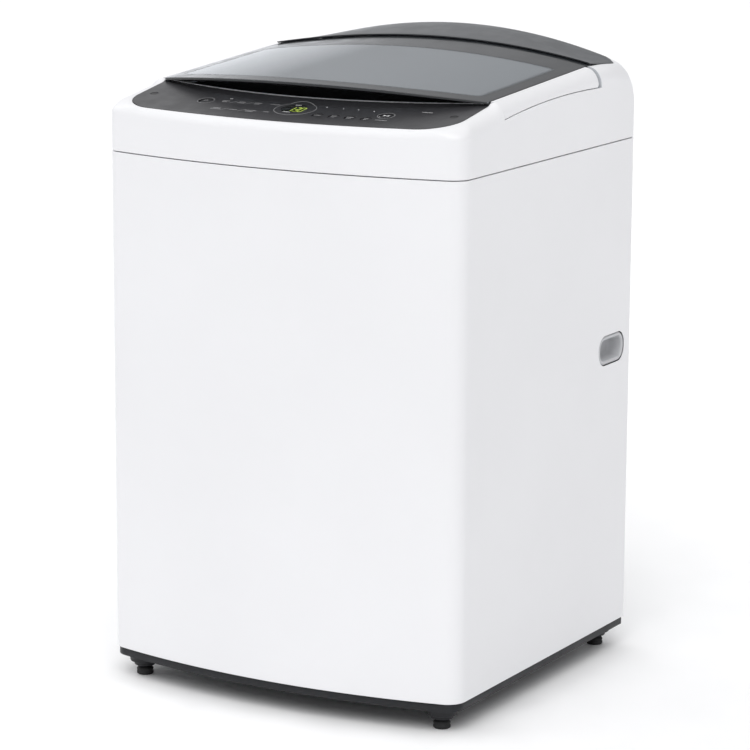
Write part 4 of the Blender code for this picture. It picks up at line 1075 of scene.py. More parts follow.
def digit(text, x, y, width, height, stroke, lean=0.06):
    """The lit bars of one seven-segment figure, from its lower left corner."""
    gap = stroke * 0.12
    half = height / 2
    across = {"a": height, "g": half, "d": 0.0}
    upright = {"f": (0.0, half), "b": (width, half), "e": (0.0, 0.0), "c": (width, 0.0)}
    shapes = []
    for s in SEGMENTS[text]:
        if s in across:
            v = across[s]
            points = [(gap, v), (stroke / 2 + gap, v + stroke / 2),
                      (width - stroke / 2 - gap, v + stroke / 2),
                      (width - gap, v), (width - stroke / 2 - gap, v - stroke / 2),
                      (stroke / 2 + gap, v - stroke / 2)]
        else:
            u, v = upright[s]
            points = [(u, v + gap), (u + stroke / 2, v + stroke / 2 + gap),
                      (u + stroke / 2, v + half - stroke / 2 - gap),
                      (u, v + half - gap), (u - stroke / 2, v + half - stroke / 2 - gap),
                      (u - stroke / 2, v + stroke / 2 + gap)]
        shapes.append([(x + u + lean * v, y + v) for u, v in points])
    return shapes


def display():
    """The round display: a dark window, lit time, small marks and the printed ring round it."""
    x, y, radius = DISPLAY
    add("display_lens", panel_disc(x, y, radius, -0.0035, 0.0, 0.0003), DISPLAY_LOOK, "root",
        ["display_window"])
    x, y = RING_CENTRE[0] + 0.0035, RING_CENTRE[1] - 0.0010
    low = y - DIGIT_HEIGHT / 2
    figures = []
    for text, left in (("1", -0.0125), ("3", -0.0040), ("0", 0.0045)):
        figures += digit(text, x + left, low, DIGIT_HEIGHT * 0.33, DIGIT_HEIGHT, 0.0013)
    figures += [circle(x - 0.0060, low + v, 0.0007, 16) for v in (0.0060, 0.0120)]
    add("display_digits", on_panel(figures, 0.0, 0.0002), DIGIT_LOOK, "root")
    x, y = RING_CENTRE
    marks = label(x - 0.0057, y - 0.0147, (0.0120,), height=0.0032)
    marks += label(x - 0.0054, y + 0.0185, (0.0095,))
    add("display_marks", on_panel(marks), PRINT_WHITE, "root")
    rows = []
    for inset in (0.0008, 0.0):
        ring = [(x + (RING_HALF_WIDTH - inset) * math.cos(a), y + (RING_HALF_DEPTH - inset) * math.sin(a))
                for a in (2 * math.pi * i / 120 for i in range(120))]
        rows.append([(u, v, fascia_height(u, v) + PRINT) for u, v in ring])
    add("display_ring", skin(rows, PRINT, True, 0), PRINT_GREY, "root")


def panel_prints():
    """Generic dashes, dots and rings where the real panel has its labels."""
    grey, white = [], []
    for x, y, lengths in CYCLE_LABELS:
        grey += label(x, y, lengths)
    for x, y in CYCLE_SLASHES:
        grey.append([(x - 0.0042, y - 0.0050), (x - 0.0036, y - 0.0050), (x + 0.0042, y + 0.0050),
                     (x + 0.0036, y + 0.0050)])
    for i, lengths in enumerate(((0.0105,), (0.0080, 0.0060), (0.0110, 0.0075), (0.0070, 0.0050)), 1):
        x, y, _ = BUTTONS[f"option_button_{i}"]
        grey += label(x, y - 0.0010, lengths)
    x, y, _ = BUTTONS["start_button"]
    grey += label(x + 0.004, y - 0.0215, (0.0190,))
    white += label(-0.1173, -0.2060, (0.0050,)) + label(0.2010, -0.1985, (0.0170,), height=0.0018)
    grey.append(ring_shape(*BUTTONS["power_button"][:2], 0.0128, 0.0005))
    grey.append(ring_shape(*BUTTONS["start_button"][:2], 0.0126, 0.0006))
    add("panel_labels", on_panel(grey), PRINT_GREY, "root")
    add("panel_marks", on_panel(white), PRINT_WHITE, "root")
    lamps = [circle(x, y, 0.0008, 16) for x, y in ((0.045, -0.2100), (0.073, -0.2112), (0.097, -0.2106),
                                                   (0.123, -0.2117))]
    add("panel_lamps", on_panel(lamps, -0.0003, 0.0002), LAMP_LOOK, "root")


def keys():
    """Six keys that sit flush in the panel, each with a slight crown; two of them carry a mark."""
    for name, (x, y, radius) in BUTTONS.items():
        profile = [(0.0, 0.0), (radius * 0.6, 0.0), (radius * 0.93, -0.00012), (radius * 0.985, -0.0005),
                   (radius, -0.0012), (radius, -0.0098), (0.0, -0.0098)]
        lift = moved(turned(profile, 64, closed=False), Matrix.Translation((x, y, -PANEL_SLOPE * y)))
        data = moved(lift, TO_PANEL)
        data.transform(Matrix.Translation((0, 0, panel_height(y) - top_of(data))))
        add(name + "_key", data, PANEL_PLASTIC, name, [name])
        if name == "power_button":
            sweep = arc((x, y), 0.0034, 125, 415, 40) + list(reversed(arc((x, y), 0.0027, 125, 415, 40)))
            shapes = [sweep, rounded_box(x - 0.0004, x + 0.0004, y + 0.0008, y + 0.0044, 0.0002, 2)]
            add(name + "_mark", on_panel(shapes), PRINT_GREY, name)
        if name == "start_button":
            shapes = [[(x - 0.0040, y - 0.0032), (x + 0.0006, y), (x - 0.0040, y + 0.0032)]]
            shapes += [rounded_box(x + u, x + u + 0.0011, y - 0.0030, y + 0.0030, 0.0002, 2)
                       for u in (0.0018, 0.0038)]
            add(name + "_mark", on_panel(shapes), PRINT_WHITE, name)


def top_of(data):
    """Height of a mesh's highest point."""
    return max(v.co.z for v in data.vertices)


def trim():
    """The bright bead along the top of the panel."""
    xs = even(-TRIM_HALF + 0.003, TRIM_HALF - 0.003, 80)
    rows = []
    for i in range(9):
        a = math.radians(180 - 22.5 * i)
        back, up = 0.0018 * math.cos(a), 0.0012 * math.sin(a)
        rows.append([(x, trim_y(x) + 0.0019 + back, trim_height(x) + 0.0002 + up) for x in xs])
    add("trim_bead", skin(rows, 0.0006, round_edge=0), SILVER, "root", ["trim_strip"])


def recess():
    """The black hollow behind the trim."""
    rear_y, floor_z = -0.1390, 0.8600
    xs = even(-0.2300, 0.2300, 60)
    lip = [(0.0036, -0.0006), (0.0068, -0.0012), (0.0080, -0.0050)]
    rows = [[(x, trim_y(x) + y, trim_height(x) + z) for x in xs] for y, z in lip]
    for share in even(0.15, 1.0, 7):
        level = floor_z + 0.0165 * (1 - share) ** 2.2
        rows.append([(x, (trim_y(x) + 0.008) * (1 - share) + rear_y * share, level) for x in xs])
    add("finger_recess", skin(rows, 0.0012, round_edge=0), RECESS_PLASTIC, "root",
        ["hand_recess_liner"])
    xs = even(-0.2615, 0.2615, 60)
    wall = [[(x, rear_y + 0.0006, level) for x in xs] for level in (LEDGE_Z + 0.0004, 0.8620)]
    wall += [[(x, rear_y + back, glass_height(x, rear_y) - GLASS - drop) for x in xs]
             for back, drop in ((0.0018, 0.0110), (0.0024, 0.0098), (0.0040, 0.0094))]
    add("recess_wall", skin(wall, 0.0012, round_edge=0.0002), RECESS_PLASTIC, "root")


# ---------------------------------------------------------------- lid


def lens(half, front, rear, radius, edge=40, side=16, corner=6):
    """An outline with curved front and rear edges, straight sides and soft corners."""
    def bend(a, b, c):
        return [((1 - t) ** 2 * a[0] + 2 * t * (1 - t) * b[0] + t * t * c[0],
                 (1 - t) ** 2 * a[1] + 2 * t * (1 - t) * b[1] + t * t * c[1])
                 for t in even(0.0, 1.0, corner)]
    reach = half - radius
    right = [(half, y) for y in even(front(half) + radius, rear(half) - radius, side)]
    left = [(-x, y) for x, y in reversed(right)]
    front_edge = [(x, front(x)) for x in even(-reach, reach, edge)]
    rear_edge = [(x, rear(x)) for x in even(reach, -reach, edge)]
    return (front_edge[:-1] + bend(front_edge[-1], (half, front(half)), right[0])[:-1] + right[:-1]
            + bend(right[-1], (half, rear(half)), rear_edge[0])[:-1] + rear_edge[:-1]
            + bend(rear_edge[-1], (-half, rear(half)), left[0])[:-1] + left[:-1]
            + bend(left[-1], (-half, front(half)), front_edge[0])[:-1])


def window_ring(grow=0.0):
    return lens(WINDOW_HALF + grow, lambda x: lid_front_y(x) + WINDOW_SETBACK - grow,
                lambda x: WINDOW_REAR_Y + grow, 0.012 + grow)


def spaced(ring, pitch):
    """Points at an even pitch round a closed outline."""
    found, carried = [], 0.0
    for a, b in zip(ring, ring[1:] + ring[:1]):
        length = math.dist(a, b)
        while carried < length:
            share = carried / length
            found.append((a[0] + (b[0] - a[0]) * share, a[1] + (b[1] - a[1]) * share))
            carried += pitch
        carried -= length
    return found


LID_HALF = LID_EDGE_X - 0.0012


def lid_glass():
    """The crowned glass."""
    xs = even(-LID_HALF, LID_HALF, 72)
    rows = []
    for share in even(0.0, 1.0, 28):
        row = []
        for x in xs:
            y = lid_front_y(x) * (1 - share) + (lip_y(x) + 0.004) * share
            row.append((x, y, glass_height(x, y)))
        rows.append(row)
    glass = skin(rows, GLASS, round_edge=0.0008)
    add("lid_glass_panel", glass, GLASS_LOOK, "lid", ["lid_glass"], 50)


def border_print():
    """The dark border printed on the glass, which also wraps its edge."""
    outer = lens(LID_HALF - 0.0004, lambda x: lid_front_y(x) + 0.0006, lambda x: lip_y(x) + 0.0034, 0.003)
    inner = window_ring()
    edge = lens(LID_HALF + 0.0002, lambda x: lid_front_y(x) - 0.0002, lambda x: lip_y(x) + 0.0042, 0.003)
    rows = [[(x, y, glass_height(x, y) + level) for x, y in edge] for level in (-0.0031, -0.0007)]
    for share in even(0.0, 1.0, 8):
        ring = [(a[0] * (1 - share) + b[0] * share, a[1] * (1 - share) + b[1] * share)
                for a, b in zip(outer, inner)]
        rows.append([(x, y, glass_height(x, y) + PRINT) for x, y in ring])
    add("lid_border_print", skin(rows, 0.00010, True, 0), BORDER_PRINT, "lid")


def border_dots():
    """Rows of ever smaller dots between the border and the clear window."""
    points, faces = [], []
    for inset, radius in ((0.0011, 0.00095), (0.0031, 0.00075), (0.0050, 0.00052), (0.0068, 0.00032)):
        for x, y in spaced(window_ring(-inset), 0.0021):
            first = len(points)
            points += [(u, v, glass_height(u, v) + PRINT) for u, v in circle(x, y, radius, 8)]
            faces.append(tuple(range(first, first + 8)))
    add("lid_border_dots", mesh_of(points, faces), BORDER_PRINT, "lid")


def under_frame():
    """The moulded ring under the glass, cut back where the hinge lugs stand."""
    back = lens(LID_HALF - 0.004, lambda x: lid_front_y(x) + 0.004, lambda x: lip_y(x) - 0.001, 0.004)
    drops = []
    for share, depth in ((0.0, 0.0), (0.0, 0.0010), (0.35, 1.0), (0.65, 1.0), (0.97, 0.9), (1.0, 0.6),
                         (1.0, 0.0)):
        row = []
        for a, b in zip(back, window_ring(0.0015)):
            x, y = a[0] * (1 - share) + b[0] * share, a[1] * (1 - share) + b[1] * share
            under = glass_height(x, y) - GLASS - GAP
            row.append((x, y, under - frame_depth(x, y) * depth))
        drops.append(row)
    ring = mesh_of([p for row in drops for p in row], grid_faces(len(drops), len(back), True))
    ring = settled(helper(ring))
    lugs = [boxes(((min(side * 0.245, side * 0.30), 0.130, 0.85),
                   (max(side * 0.245, side * 0.30), 0.21, 0.97)), rounding=0.001) for side in (-1, 1)]
    add("lid_under_frame", boolean(closed_ring(ring), "DIFFERENCE", *lugs), DARK_FRAME,
        "lid", ["lid_frame"], 30)


def frame_depth(x, y):
    """Depth of the ring under the glass, which thins towards the lid's front edge."""
    return 0.0012 + 0.0066 * smooth_step(0.006, 0.030, y - lid_front_y(x))


def closed_ring(data):
    """Closes a lofted ring along its top, between its first row and its last."""
    mesh = bmesh.new()
    mesh.from_mesh(data)
    boundary = [edge for edge in mesh.edges if edge.is_boundary]
    bmesh.ops.bridge_loops(mesh, edges=boundary)
    bmesh.ops.recalc_face_normals(mesh, faces=mesh.faces)
    mesh.to_mesh(data)
    mesh.free()
    return data


def side_cap(name, side):
    """The white cap along one side of the lid, which carries on the cover's rounded rim."""
    columns = []
    for y in even(CAP_FRONT_Y, CAP_REAR_Y, 60):
        top = glass_height(LID_EDGE_X, y)
        start = top - SIDE_SHOULDER
        low = seam_height(y) + 0.0008
        share = math.asin(max(0.0, min(1.0, (low - start) / SIDE_SHOULDER))) / (math.pi / 2)
        wall = (side * HALF_WIDTH, y)
        edge = (side * (LID_EDGE_X - 0.0002), y)
        points = round_over(wall, edge, start, top, share)
        points[0] = (points[0][0], y, low)
        columns.append(points)
    rows = [list(row) for row in zip(*columns)]
    if side < 0:
        rows.reverse()
    data = skin(rows, MOULDING, round_edge=0.0005)
    corner = 0.006
    rear = CAP_REAR_Y
    low, high = seam_height(rear) + 0.0008, glass_height(LID_EDGE_X, rear)
    keep = [(CAP_FRONT_Y - 0.01, 0.82), (rear - corner, 0.82)]
    keep += arc((rear - corner, low + corner), corner, -90, 0, 8)
    keep += arc((rear - 0.004, high - 0.003), 0.004, 0, 50, 5)
    keep += [(rear - 0.004, 0.95), (CAP_FRONT_Y - 0.01, 0.95)]
    data = boolean(data, "INTERSECT", moved(plate(keep, -0.03, 0.03), side_place(side)))
    weigh_normals(add(name + "_cap", data, WHITE_PLASTIC, "lid", [name], 40))


def hinge_pin(name):
    low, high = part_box(name)
    half = (high.x - low.x) / 2
    profile = [(0.0, half), (0.0034, half), (0.0040, half - 0.0006), (0.0040, -half + 0.0006),
               (0.0034, -half), (0.0, -half)]
    middle = Matrix.Translation(((low.x + high.x) / 2, HINGE_Y, HINGE_Z))
    place = middle @ Matrix.Rotation(math.radians(90), 4, "Y")
    add(name + "_rod", turned(profile, 32, closed=False, place=place), SHAFT_STEEL, "lid",
        [name])


# ---------------------------------------------------------------- rear of the cabinet

VALVES = [(valve, centre_of(valve)[0]) for valve in ("cold_inlet_valve", "hot_inlet_valve")]
VALVE_Z = 0.832
OUTLET_X, OUTLET_Z = -0.180, 0.172
GLAND_X, GLAND_Z = 0.200, 0.120
PUMP = Vector((-0.180, 0.200, 0.078))
SUMP_X, SUMP_Y = -0.165, 0.165


def rear_sheet():
    """The pressed rear panel: swaged ribs, an access cover with louvres, and the screws."""
    low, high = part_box("rear_panel")
    rear = high.y
    xs = even(low.x, high.x, 150)
    zs = even(low.z, high.z, 180)

    def swage(x, z):
        depth = 0.0
        for middle in (-0.19, 0.0, 0.19):
            reach = smooth_step(0.048, 0.040, abs(x - middle)) * smooth_step(0.17, 0.16, abs(z - 0.575))
            depth = max(depth, 0.0016 * reach)
        for level in (0.370, 0.335, 0.300):
            reach = smooth_step(0.008, 0.004, abs(z - level)) * smooth_step(0.235, 0.225, abs(x))
            depth = max(depth, 0.0016 * reach)
        return depth

    rows = [[(x, rear + swage(x, z), z) for x in xs] for z in zs]
    data = skin(rows, SHEET, round_edge=0)
    holes = [bore(r, 48, along_y(x, rear, z))
             for x, z, r in ((OUTLET_X, OUTLET_Z, 0.0150), (GLAND_X, GLAND_Z, 0.0095))]
    made = add("rear_sheet", boolean(data, "DIFFERENCE", *holes), ZINC, "root",
               ["rear_panel"], 50)
    weigh_normals(made)
    access = rounded_box(-0.105, 0.105, 0.075, 0.255, 0.012)
    turn = Matrix(((1, 0, 0, 0), (0, 0, -1, 0), (0, 1, 0, 0), (0, 0, 0, 1)))
    cover = plate(access, -0.0009, 0.0, rounding=0.0004)
    louvres = []
    for i in range(9):
        z = 0.105 + 0.015 * i
        louvres.append(boxes(((-0.060, rear, z), (0.060, rear + 0.0022, z + 0.0055)), rounding=0.0012))
    data = joined(moved(cover, Matrix.Translation((0, rear + 0.0002, 0)) @ turn), *louvres)
    add("access_cover", data, ZINC, "root")
    places = [(side * 0.273, z) for side in (-1, 1) for z in even(0.075, 0.765, 5)]
    places += [(x, 0.775) for x in even(-0.20, 0.20, 4)]
    places += [(side * 0.096, z) for side in (-1, 1) for z in (0.088, 0.242)]
    dome = [(0.0, 0.0021), (0.0022, 0.0019), (0.0037, 0.0011), (0.0041, 0.0003), (0.0041, 0.0), (0.0, 0.0)]
    head = turned(dome, 24, closed=False)
    cross = [boxes(((-x, -y, 0.0012), (x, y, 0.004)), rounding=0.0001)
             for x, y in ((0.0021, 0.0004), (0.0004, 0.0021))]
    head = boolean(head, "DIFFERENCE", *cross)
    screws = [moved(head, along_y(x, rear + 0.0003, z)) for x, z in places]
    add("rear_screws", joined(*screws), SHAFT_STEEL, "root")


def inlet_valve(name, x, look):
    """A solenoid valve behind the cover, with a threaded spigot out of the back."""
    body = boxes(((x - 0.0175, 0.2385, VALVE_Z - 0.0155), (x + 0.0175, 0.2620, VALVE_Z + 0.0155)),
                 rounding=0.002)
    coil = boxes(((x - 0.0120, 0.2390, VALVE_Z - 0.0150), (x + 0.0120, 0.2550, VALVE_Z + 0.0150)),
                 rounding=0.003)
    start, end = 0.2600, REACH_BACK_Y - 0.0002
    radius = 0.0130
    profile = [(radius - 0.0035, end), (radius - 0.0026, end), (radius - 0.0016, end - 0.0008)]
    y = end - 0.0014
    while y > 0.2830:
        profile += [(radius, y - 0.0004), (radius - 0.0014, y - 0.0012)]
        y -= 0.0018
    profile += [(radius - 0.0014, 0.2815), (radius, 0.2805), (radius, 0.2620), (radius, start),
                (radius - 0.0035, start)]
    profile = [(r, level - start) for r, level in profile]
    spigot = turned(profile, 48, place=along_y(x, start, VALVE_Z))
    strainer = turned([(0.0, 0.012), (0.0030, 0.012), (0.0050, 0.010), (radius - 0.0036, 0.009),
                       (radius - 0.0036, 0.008), (0.0, 0.008)], 32, closed=False,
                      place=along_y(x, 0.278, VALVE_Z))
    add(name + "_body", joined(body, coil, spigot), look, "root", [name], 40)
    add(name + "_strainer", strainer, look, "root")


def outlet():
    """The barbed drain spigot and the power cord's gland."""
    start, end = BACK_Y - 0.0058, REACH_BACK_Y - 0.0002
    panel = BACK_Y - 0.0015 - start
    length = end - start
    profile = [(0.0112, length), (0.0128, length), (0.0145, length - 0.004), (0.0145, length - 0.0055),
               (0.0134, length - 0.0058), (0.0145, length - 0.0105), (0.0145, length - 0.0118),
               (0.0134, length - 0.0121), (0.0134, panel + 0.0050), (0.0150, panel + 0.0034),
               (0.0204, panel + 0.0030), (0.0210, panel + 0.0022), (0.0210, panel), (0.0142, panel),
               (0.0142, 0.0), (0.0112, 0.0)]
    data = turned(profile, 64, place=along_y(OUTLET_X, start, OUTLET_Z))
    add("drain_spigot", data, BLACK_PLASTIC, "root", ["drain_outlet"], 40)
    start = BACK_Y - 0.0098
    panel = BACK_Y - 0.0015 - start
    profile = [(0.0042, panel + 0.0115), (0.0064, panel + 0.0115), (0.0070, panel + 0.0108)]
    for i in range(3):
        at = panel + 0.0100 - i * 0.0026
        profile += [(0.0074 + i * 0.0016, at), (0.0062 + i * 0.0016, at - 0.0008),
                    (0.0066 + i * 0.0016, at - 0.0018)]
    profile += [(0.0130, panel + 0.0020), (0.0134, panel + 0.0012), (0.0134, panel), (0.0088, panel),
                (0.0088, 0.0), (0.0042, 0.0)]
    add("cord_gland", turned(profile, 48, place=along_y(GLAND_X, start, GLAND_Z)), RUBBER, "root",
        ["power_cord_gland"])


# ---------------------------------------------------------------- tub and drive

TUB_RADIUS = 0.250
TUB_LOW = 0.205
TUB_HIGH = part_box("outer_tub")[1].z
RODS = [(f"suspension_rod_{corner}", f"suspension_spring_{corner}") for corner in CORNERS]


def middle_of(node):
    low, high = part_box(node)
    return (low + high) / 2


def tub():
    """The moulded outer tub: hoops, upright ribs, a floor with a sump hole, and four hanging lugs."""
    inner = TUB_RADIUS - 0.0040
    skin_r = TUB_RADIUS - 0.0012
    profile = [(inner, TUB_HIGH), (TUB_RADIUS, TUB_HIGH), (TUB_RADIUS, TUB_HIGH - 0.006),
               (skin_r, TUB_HIGH - 0.007)]
    for level in (0.690, 0.600, 0.510, 0.420, 0.330):
        profile += [(skin_r, level + 0.0030), (TUB_RADIUS, level + 0.0018), (TUB_RADIUS, level - 0.0018),
                    (skin_r, level - 0.0030)]
    profile += [(skin_r, TUB_LOW + 0.012)]
    profile += arc((TUB_RADIUS - 0.0132, TUB_LOW + 0.012), 0.012, 0, -90, 8)[1:]
    profile += [(0.0450, TUB_LOW), (0.0450, TUB_LOW + 0.006), (inner - 0.010, TUB_LOW + 0.006)]
    profile += arc((inner - 0.010, TUB_LOW + 0.016), 0.010, -90, 0, 8)[1:]
    shell = turned(profile, 144)
    sump = bore(0.010, 48, Matrix.Translation((SUMP_X, SUMP_Y, 0.208)))
    shell = boolean(shell, "DIFFERENCE", sump)
    rib = boxes(((skin_r - 0.001, -0.0011, 0.300), (TUB_RADIUS - 0.0001, 0.0011, 0.700)), rounding=0.0004)
    ribs = around(rib, 36, 0.5)
    lugs = []
    for rod, _ in RODS:
        centre = middle_of(rod)
        angle = math.atan2(centre.y, centre.x)
        reach = math.hypot(centre.x, centre.y)
        outline = [(0.2478, -0.018), (reach - 0.004, -0.0176)]
        outline += arc((reach - 0.004, 0.0), 0.0176, -90, 90, 16)[1:-1]
        outline += [(reach - 0.004, 0.0176), (0.2478, 0.018)]
        lug = plate(outline, 0.2602, 0.2738, [circle(reach, 0.0, 0.0065, 32)], 0.0010)
        web = boxes(((0.2478, -0.0178, 0.2738), (0.2700, -0.0150, 0.3050)),
                    ((0.2478, 0.0150, 0.2738), (0.2700, 0.0178, 0.3050)), rounding=0.0008)
        lugs.append(moved(joined(lug, web), Matrix.Rotation(angle, 4, "Z")))
    add("tub_shell", shell, GREY_PLASTIC, "tub", ["outer_tub"], 40)
    add("tub_ribs", joined(*ribs, *lugs), GREY_PLASTIC, "tub")


def tub_top():
    """The ring that closes the tub, with a splash lip and fine ribs round its top."""
    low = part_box("tub_cover")[0].z
    profile = [(TUB_RADIUS + 0.0004, low + 0.0098), (TUB_RADIUS + 0.0004, low), (0.2400, low),
               (0.2300, low + 0.006), (0.1955, low + 0.006), (0.1945, low + 0.0022),
               (0.1925, low + 0.0022), (0.1921, low + 0.0100)]
    profile += arc((0.1946, low + 0.0100), 0.0025, 180, 90, 5)[1:]
    profile += [(0.2340, low + 0.0125), (0.2420, low + 0.0110)]
    ring = turned(profile, 144, rounding=0.0004)
    rib = boxes(((0.198, -0.0006, low + 0.0120), (0.236, 0.0006, low + 0.0138)), rounding=0.0003)
    add("tub_ring", joined(ring, *around(rib, 48)), GREY_PLASTIC, "tub", ["tub_cover"], 40)


def bearing():
    """The cast bearing housing with its webs and bolts."""
    top = TUB_LOW - GAP
    profile = [(0.095, top), (0.095, top - 0.005), (0.094, top - 0.006), (0.060, top - 0.0115),
               (0.0580, top - 0.0135), (0.0580, 0.1512), (0.0568, 0.150), (0.0170, 0.150), (0.0158, 0.1512),
               (0.0158, TUB_LOW + 0.004), (0.0430, TUB_LOW + 0.004), (0.0440, TUB_LOW + 0.003),
               (0.0440, top)]
    web = boxes(((0.056, -0.002, 0.188), (0.092, 0.002, top - 0.002)), rounding=0.0006)
    bolt = [(0.0, 0.0), (0.0050, 0.0), (0.0055, 0.0006), (0.0055, 0.0055), (0.0, 0.0055)]
    bolts = []
    for x, y in arc((0.0, 0.0), 0.086, 0, 315, 7):
        bolts.append(turned(bolt, 6, closed=False, place=Matrix.Translation((x, y, top - 0.0105))))
    add("bearing_hub", joined(turned(profile, 96), *around(web, 8, 0.5)), CAST_METAL, "tub",
        ["bearing_housing"], 40)
    add("bearing_bolts", joined(*bolts), SHAFT_STEEL, "tub", angle=20)


def stator():
    """The motor's core with its teeth and copper windings."""
    low, high = levels_of("motor_stator")
    core = turned([(0.092, high - 0.001), (0.091, high), (0.0594, high), (0.0584, high - 0.001),
                   (0.0584, low + 0.001), (0.0594, low), (0.091, low), (0.092, low + 0.001)], 96)
    tooth = boxes(((0.1035, -0.0070, low + 0.003), (0.1058, 0.0070, high - 0.003)), rounding=0.0006)
    coil = boxes(((0.0918, -0.0046, low + 0.0012), (0.1036, 0.0046, high - 0.0012)), rounding=0.0022,
                 segments=3)
    add("stator_core", joined(core, *around(tooth, 36)), ZINC, "tub")
    add("stator_windings", joined(*around(coil, 36)), COPPER, "tub", ["motor_stator"])


def rotor():
    """The motor's pressed cup, with vents and a row of magnets inside its wall."""
    low, high = levels_of("motor_rotor")
    inside = low + 0.0042
    profile = [(0.0, inside), (0.1075, inside)]
    profile += arc((0.1075, inside + 0.0025), 0.0025, -90, 0, 5)[1:]
    profile += [(0.1100, high - 0.0006), (0.1106, high), (0.1154, high), (0.1160, high - 0.0006),
                (0.1160, low + 0.0040)]
    profile += arc((0.1120, low + 0.0040), 0.0040, 0, -90, 6)[1:] + [(0.0, low)]
    cup = turned(profile, 128, closed=False)
    vent = plate(rounded_box(0.045, 0.092, -0.0055, 0.0055, 0.005, 5), low - 0.01, inside + 0.01)
    add("rotor_cup", boolean(cup, "DIFFERENCE", joined(*around(vent, 12))), ZINC, "pulsator",
        ["motor_rotor"], 40)
    magnet = boxes(((0.1080, -0.0096, inside + 0.004), (0.1103, 0.0096, high - 0.001)), rounding=0.0004)
    add("rotor_magnets", joined(*around(magnet, 32)), BLACK_PLASTIC, "pulsator")


def shafts():
    """The basket's hollow shaft and the pulsator's shaft inside it."""
    low, high = levels_of("spin_shaft")
    profile = [(0.0151, high - 0.001), (0.0144, high), (0.0092, high), (0.0088, high - 0.0004),
               (0.0088, low + 0.0004), (0.0092, low), (0.0144, low), (0.0151, low + 0.001)]
    add("spin_tube", turned(profile, 64), SHAFT_STEEL, "basket", ["spin_shaft"])
    low, high = levels_of("pulsator_shaft")
    profile = [(0.0, high), (0.0070, high), (0.0080, high - 0.001), (0.0080, low + 0.001),
               (0.0070, low), (0.0, low)]
    add("drive_spindle", turned(profile, 48, closed=False), SHAFT_STEEL, "pulsator",
        ["pulsator_shaft"])


def suspension():
    """Four hanger rods with ball seats and cups, and the springs that the tub sits on."""
    for rod, spring in RODS:
        centre = middle_of(rod)
        low, high = levels_of(rod)
        seat = 0.7668
        cup = low + 0.012
        profile = [(0.0, high), (0.0050, high), (0.0060, high - 0.001)]
        profile += [(0.0140 * math.sin(a), seat + 0.0065 + 0.0085 * math.cos(a))
                    for a in (math.radians(30 + 12 * i) for i in range(6))]
        profile += [(0.0140, seat + 0.002), (0.0136, seat + 0.0003), (0.0042, seat), (0.0042, cup + 0.004),
                    (0.0070, cup + 0.0002), (0.0176, cup + 0.0001), (0.0190, cup - 0.0012),
                    (0.0190, cup - 0.0036), (0.0176, cup - 0.0050), (0.0090, cup - 0.0110),
                    (0.0075, low), (0.0, low)]
        place = Matrix.Translation((centre.x, centre.y, 0.0))
        add(rod + "_hanger", turned(profile, 48, closed=False, place=place), SHAFT_STEEL, "root",
            [rod], 40)
        low, high = levels_of(spring)
        wire, coil, turns, per_turn = 0.0021, 0.0145, 6.5, 20
        count = int(turns * per_turn)
        points = []
        for i in range(count + 1):
            a = 2 * math.pi * i / per_turn
            share = i / count
            rise = min(1.0, max(0.0, (share - 0.14) / 0.72))
            level = low + wire + (high - low - 2 * wire) * (0.86 * rise + 0.14 * share)
            points.append((centre.x + coil * math.cos(a), centre.y + coil * math.sin(a), level))
        made = linked(spring + "_coil", pipe(points, wire, 3))
        dress(made, SHAFT_STEEL, 60)
        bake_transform(made)
        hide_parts(spring)


# ---------------------------------------------------------------- basket and pulsator

BASKET_RADIUS = 0.224
BASKET_LOW, BASKET_HIGH = levels_of("wash_basket")


def basket():
    """The stainless basket: shallow pressed panels, pierced with drain holes."""
    panel_columns = 20
    columns, rows = 12 * panel_columns, 66
    hole_radius = 0.0019
    levels = even(BASKET_LOW, BASKET_HIGH, rows)
    points, faces, index = [], [], {}

    def reach(c, r):
        z = levels[r]
        climb = (z - BASKET_LOW) / 0.49
        share = smooth_step(0.0, 0.06, climb) * smooth_step(1.0, 0.94, climb)
        wave = 0.5 + 0.5 * math.cos(2 * math.pi * (c % panel_columns) / panel_columns)
        return BASKET_RADIUS - 0.0002 - 0.0011 * share * wave

    def vertex(c, r):
        c %= columns
        if (c, r) not in index:
            a = 2 * math.pi * c / columns
            index[c, r] = len(points)
            points.append(Vector((reach(c, r) * math.cos(a), reach(c, r) * math.sin(a), levels[r])))
        return index[c, r]

    for r in range(rows):
        for c in range(columns):
            quad = (vertex(c, r), vertex(c + 1, r), vertex(c + 1, r + 1), vertex(c, r + 1))
            phase = c % panel_columns
            pierced = 4 <= phase <= 15 and (c + 2 * (r % 2)) % 4 == 0 and 3 <= r < rows - 3 and r % 2 == 0
            if not pierced:
                faces.append(quad)
                continue
            middle = sum((points[v] for v in quad), Vector()) / 4
            corners = [points[v] for v in quad]
            across, up = (corners[1] - corners[0]).normalized(), Vector((0, 0, 1))
            ring = []
            for k in range(8):
                a = math.radians(202.5 + 45 * k)
                ring.append(len(points))
                points.append(middle + (across * math.cos(a) + up * math.sin(a)) * hole_radius)
            for k in range(4):
                first, second = quad[k], quad[(k + 1) % 4]
                faces.append((first, ring[(2 * k + 1) % 8], ring[2 * k]))
                faces.append((first, second, ring[(2 * k + 2) % 8], ring[(2 * k + 1) % 8]))
    made = helper(mesh_of(points, faces))
    solid = made.modifiers.new("solidify", "SOLIDIFY")
    solid.thickness = 0.0011
    solid.offset = -1.0
    add("basket_wall", settled(made), STAINLESS, "basket", ["wash_basket"], 45)


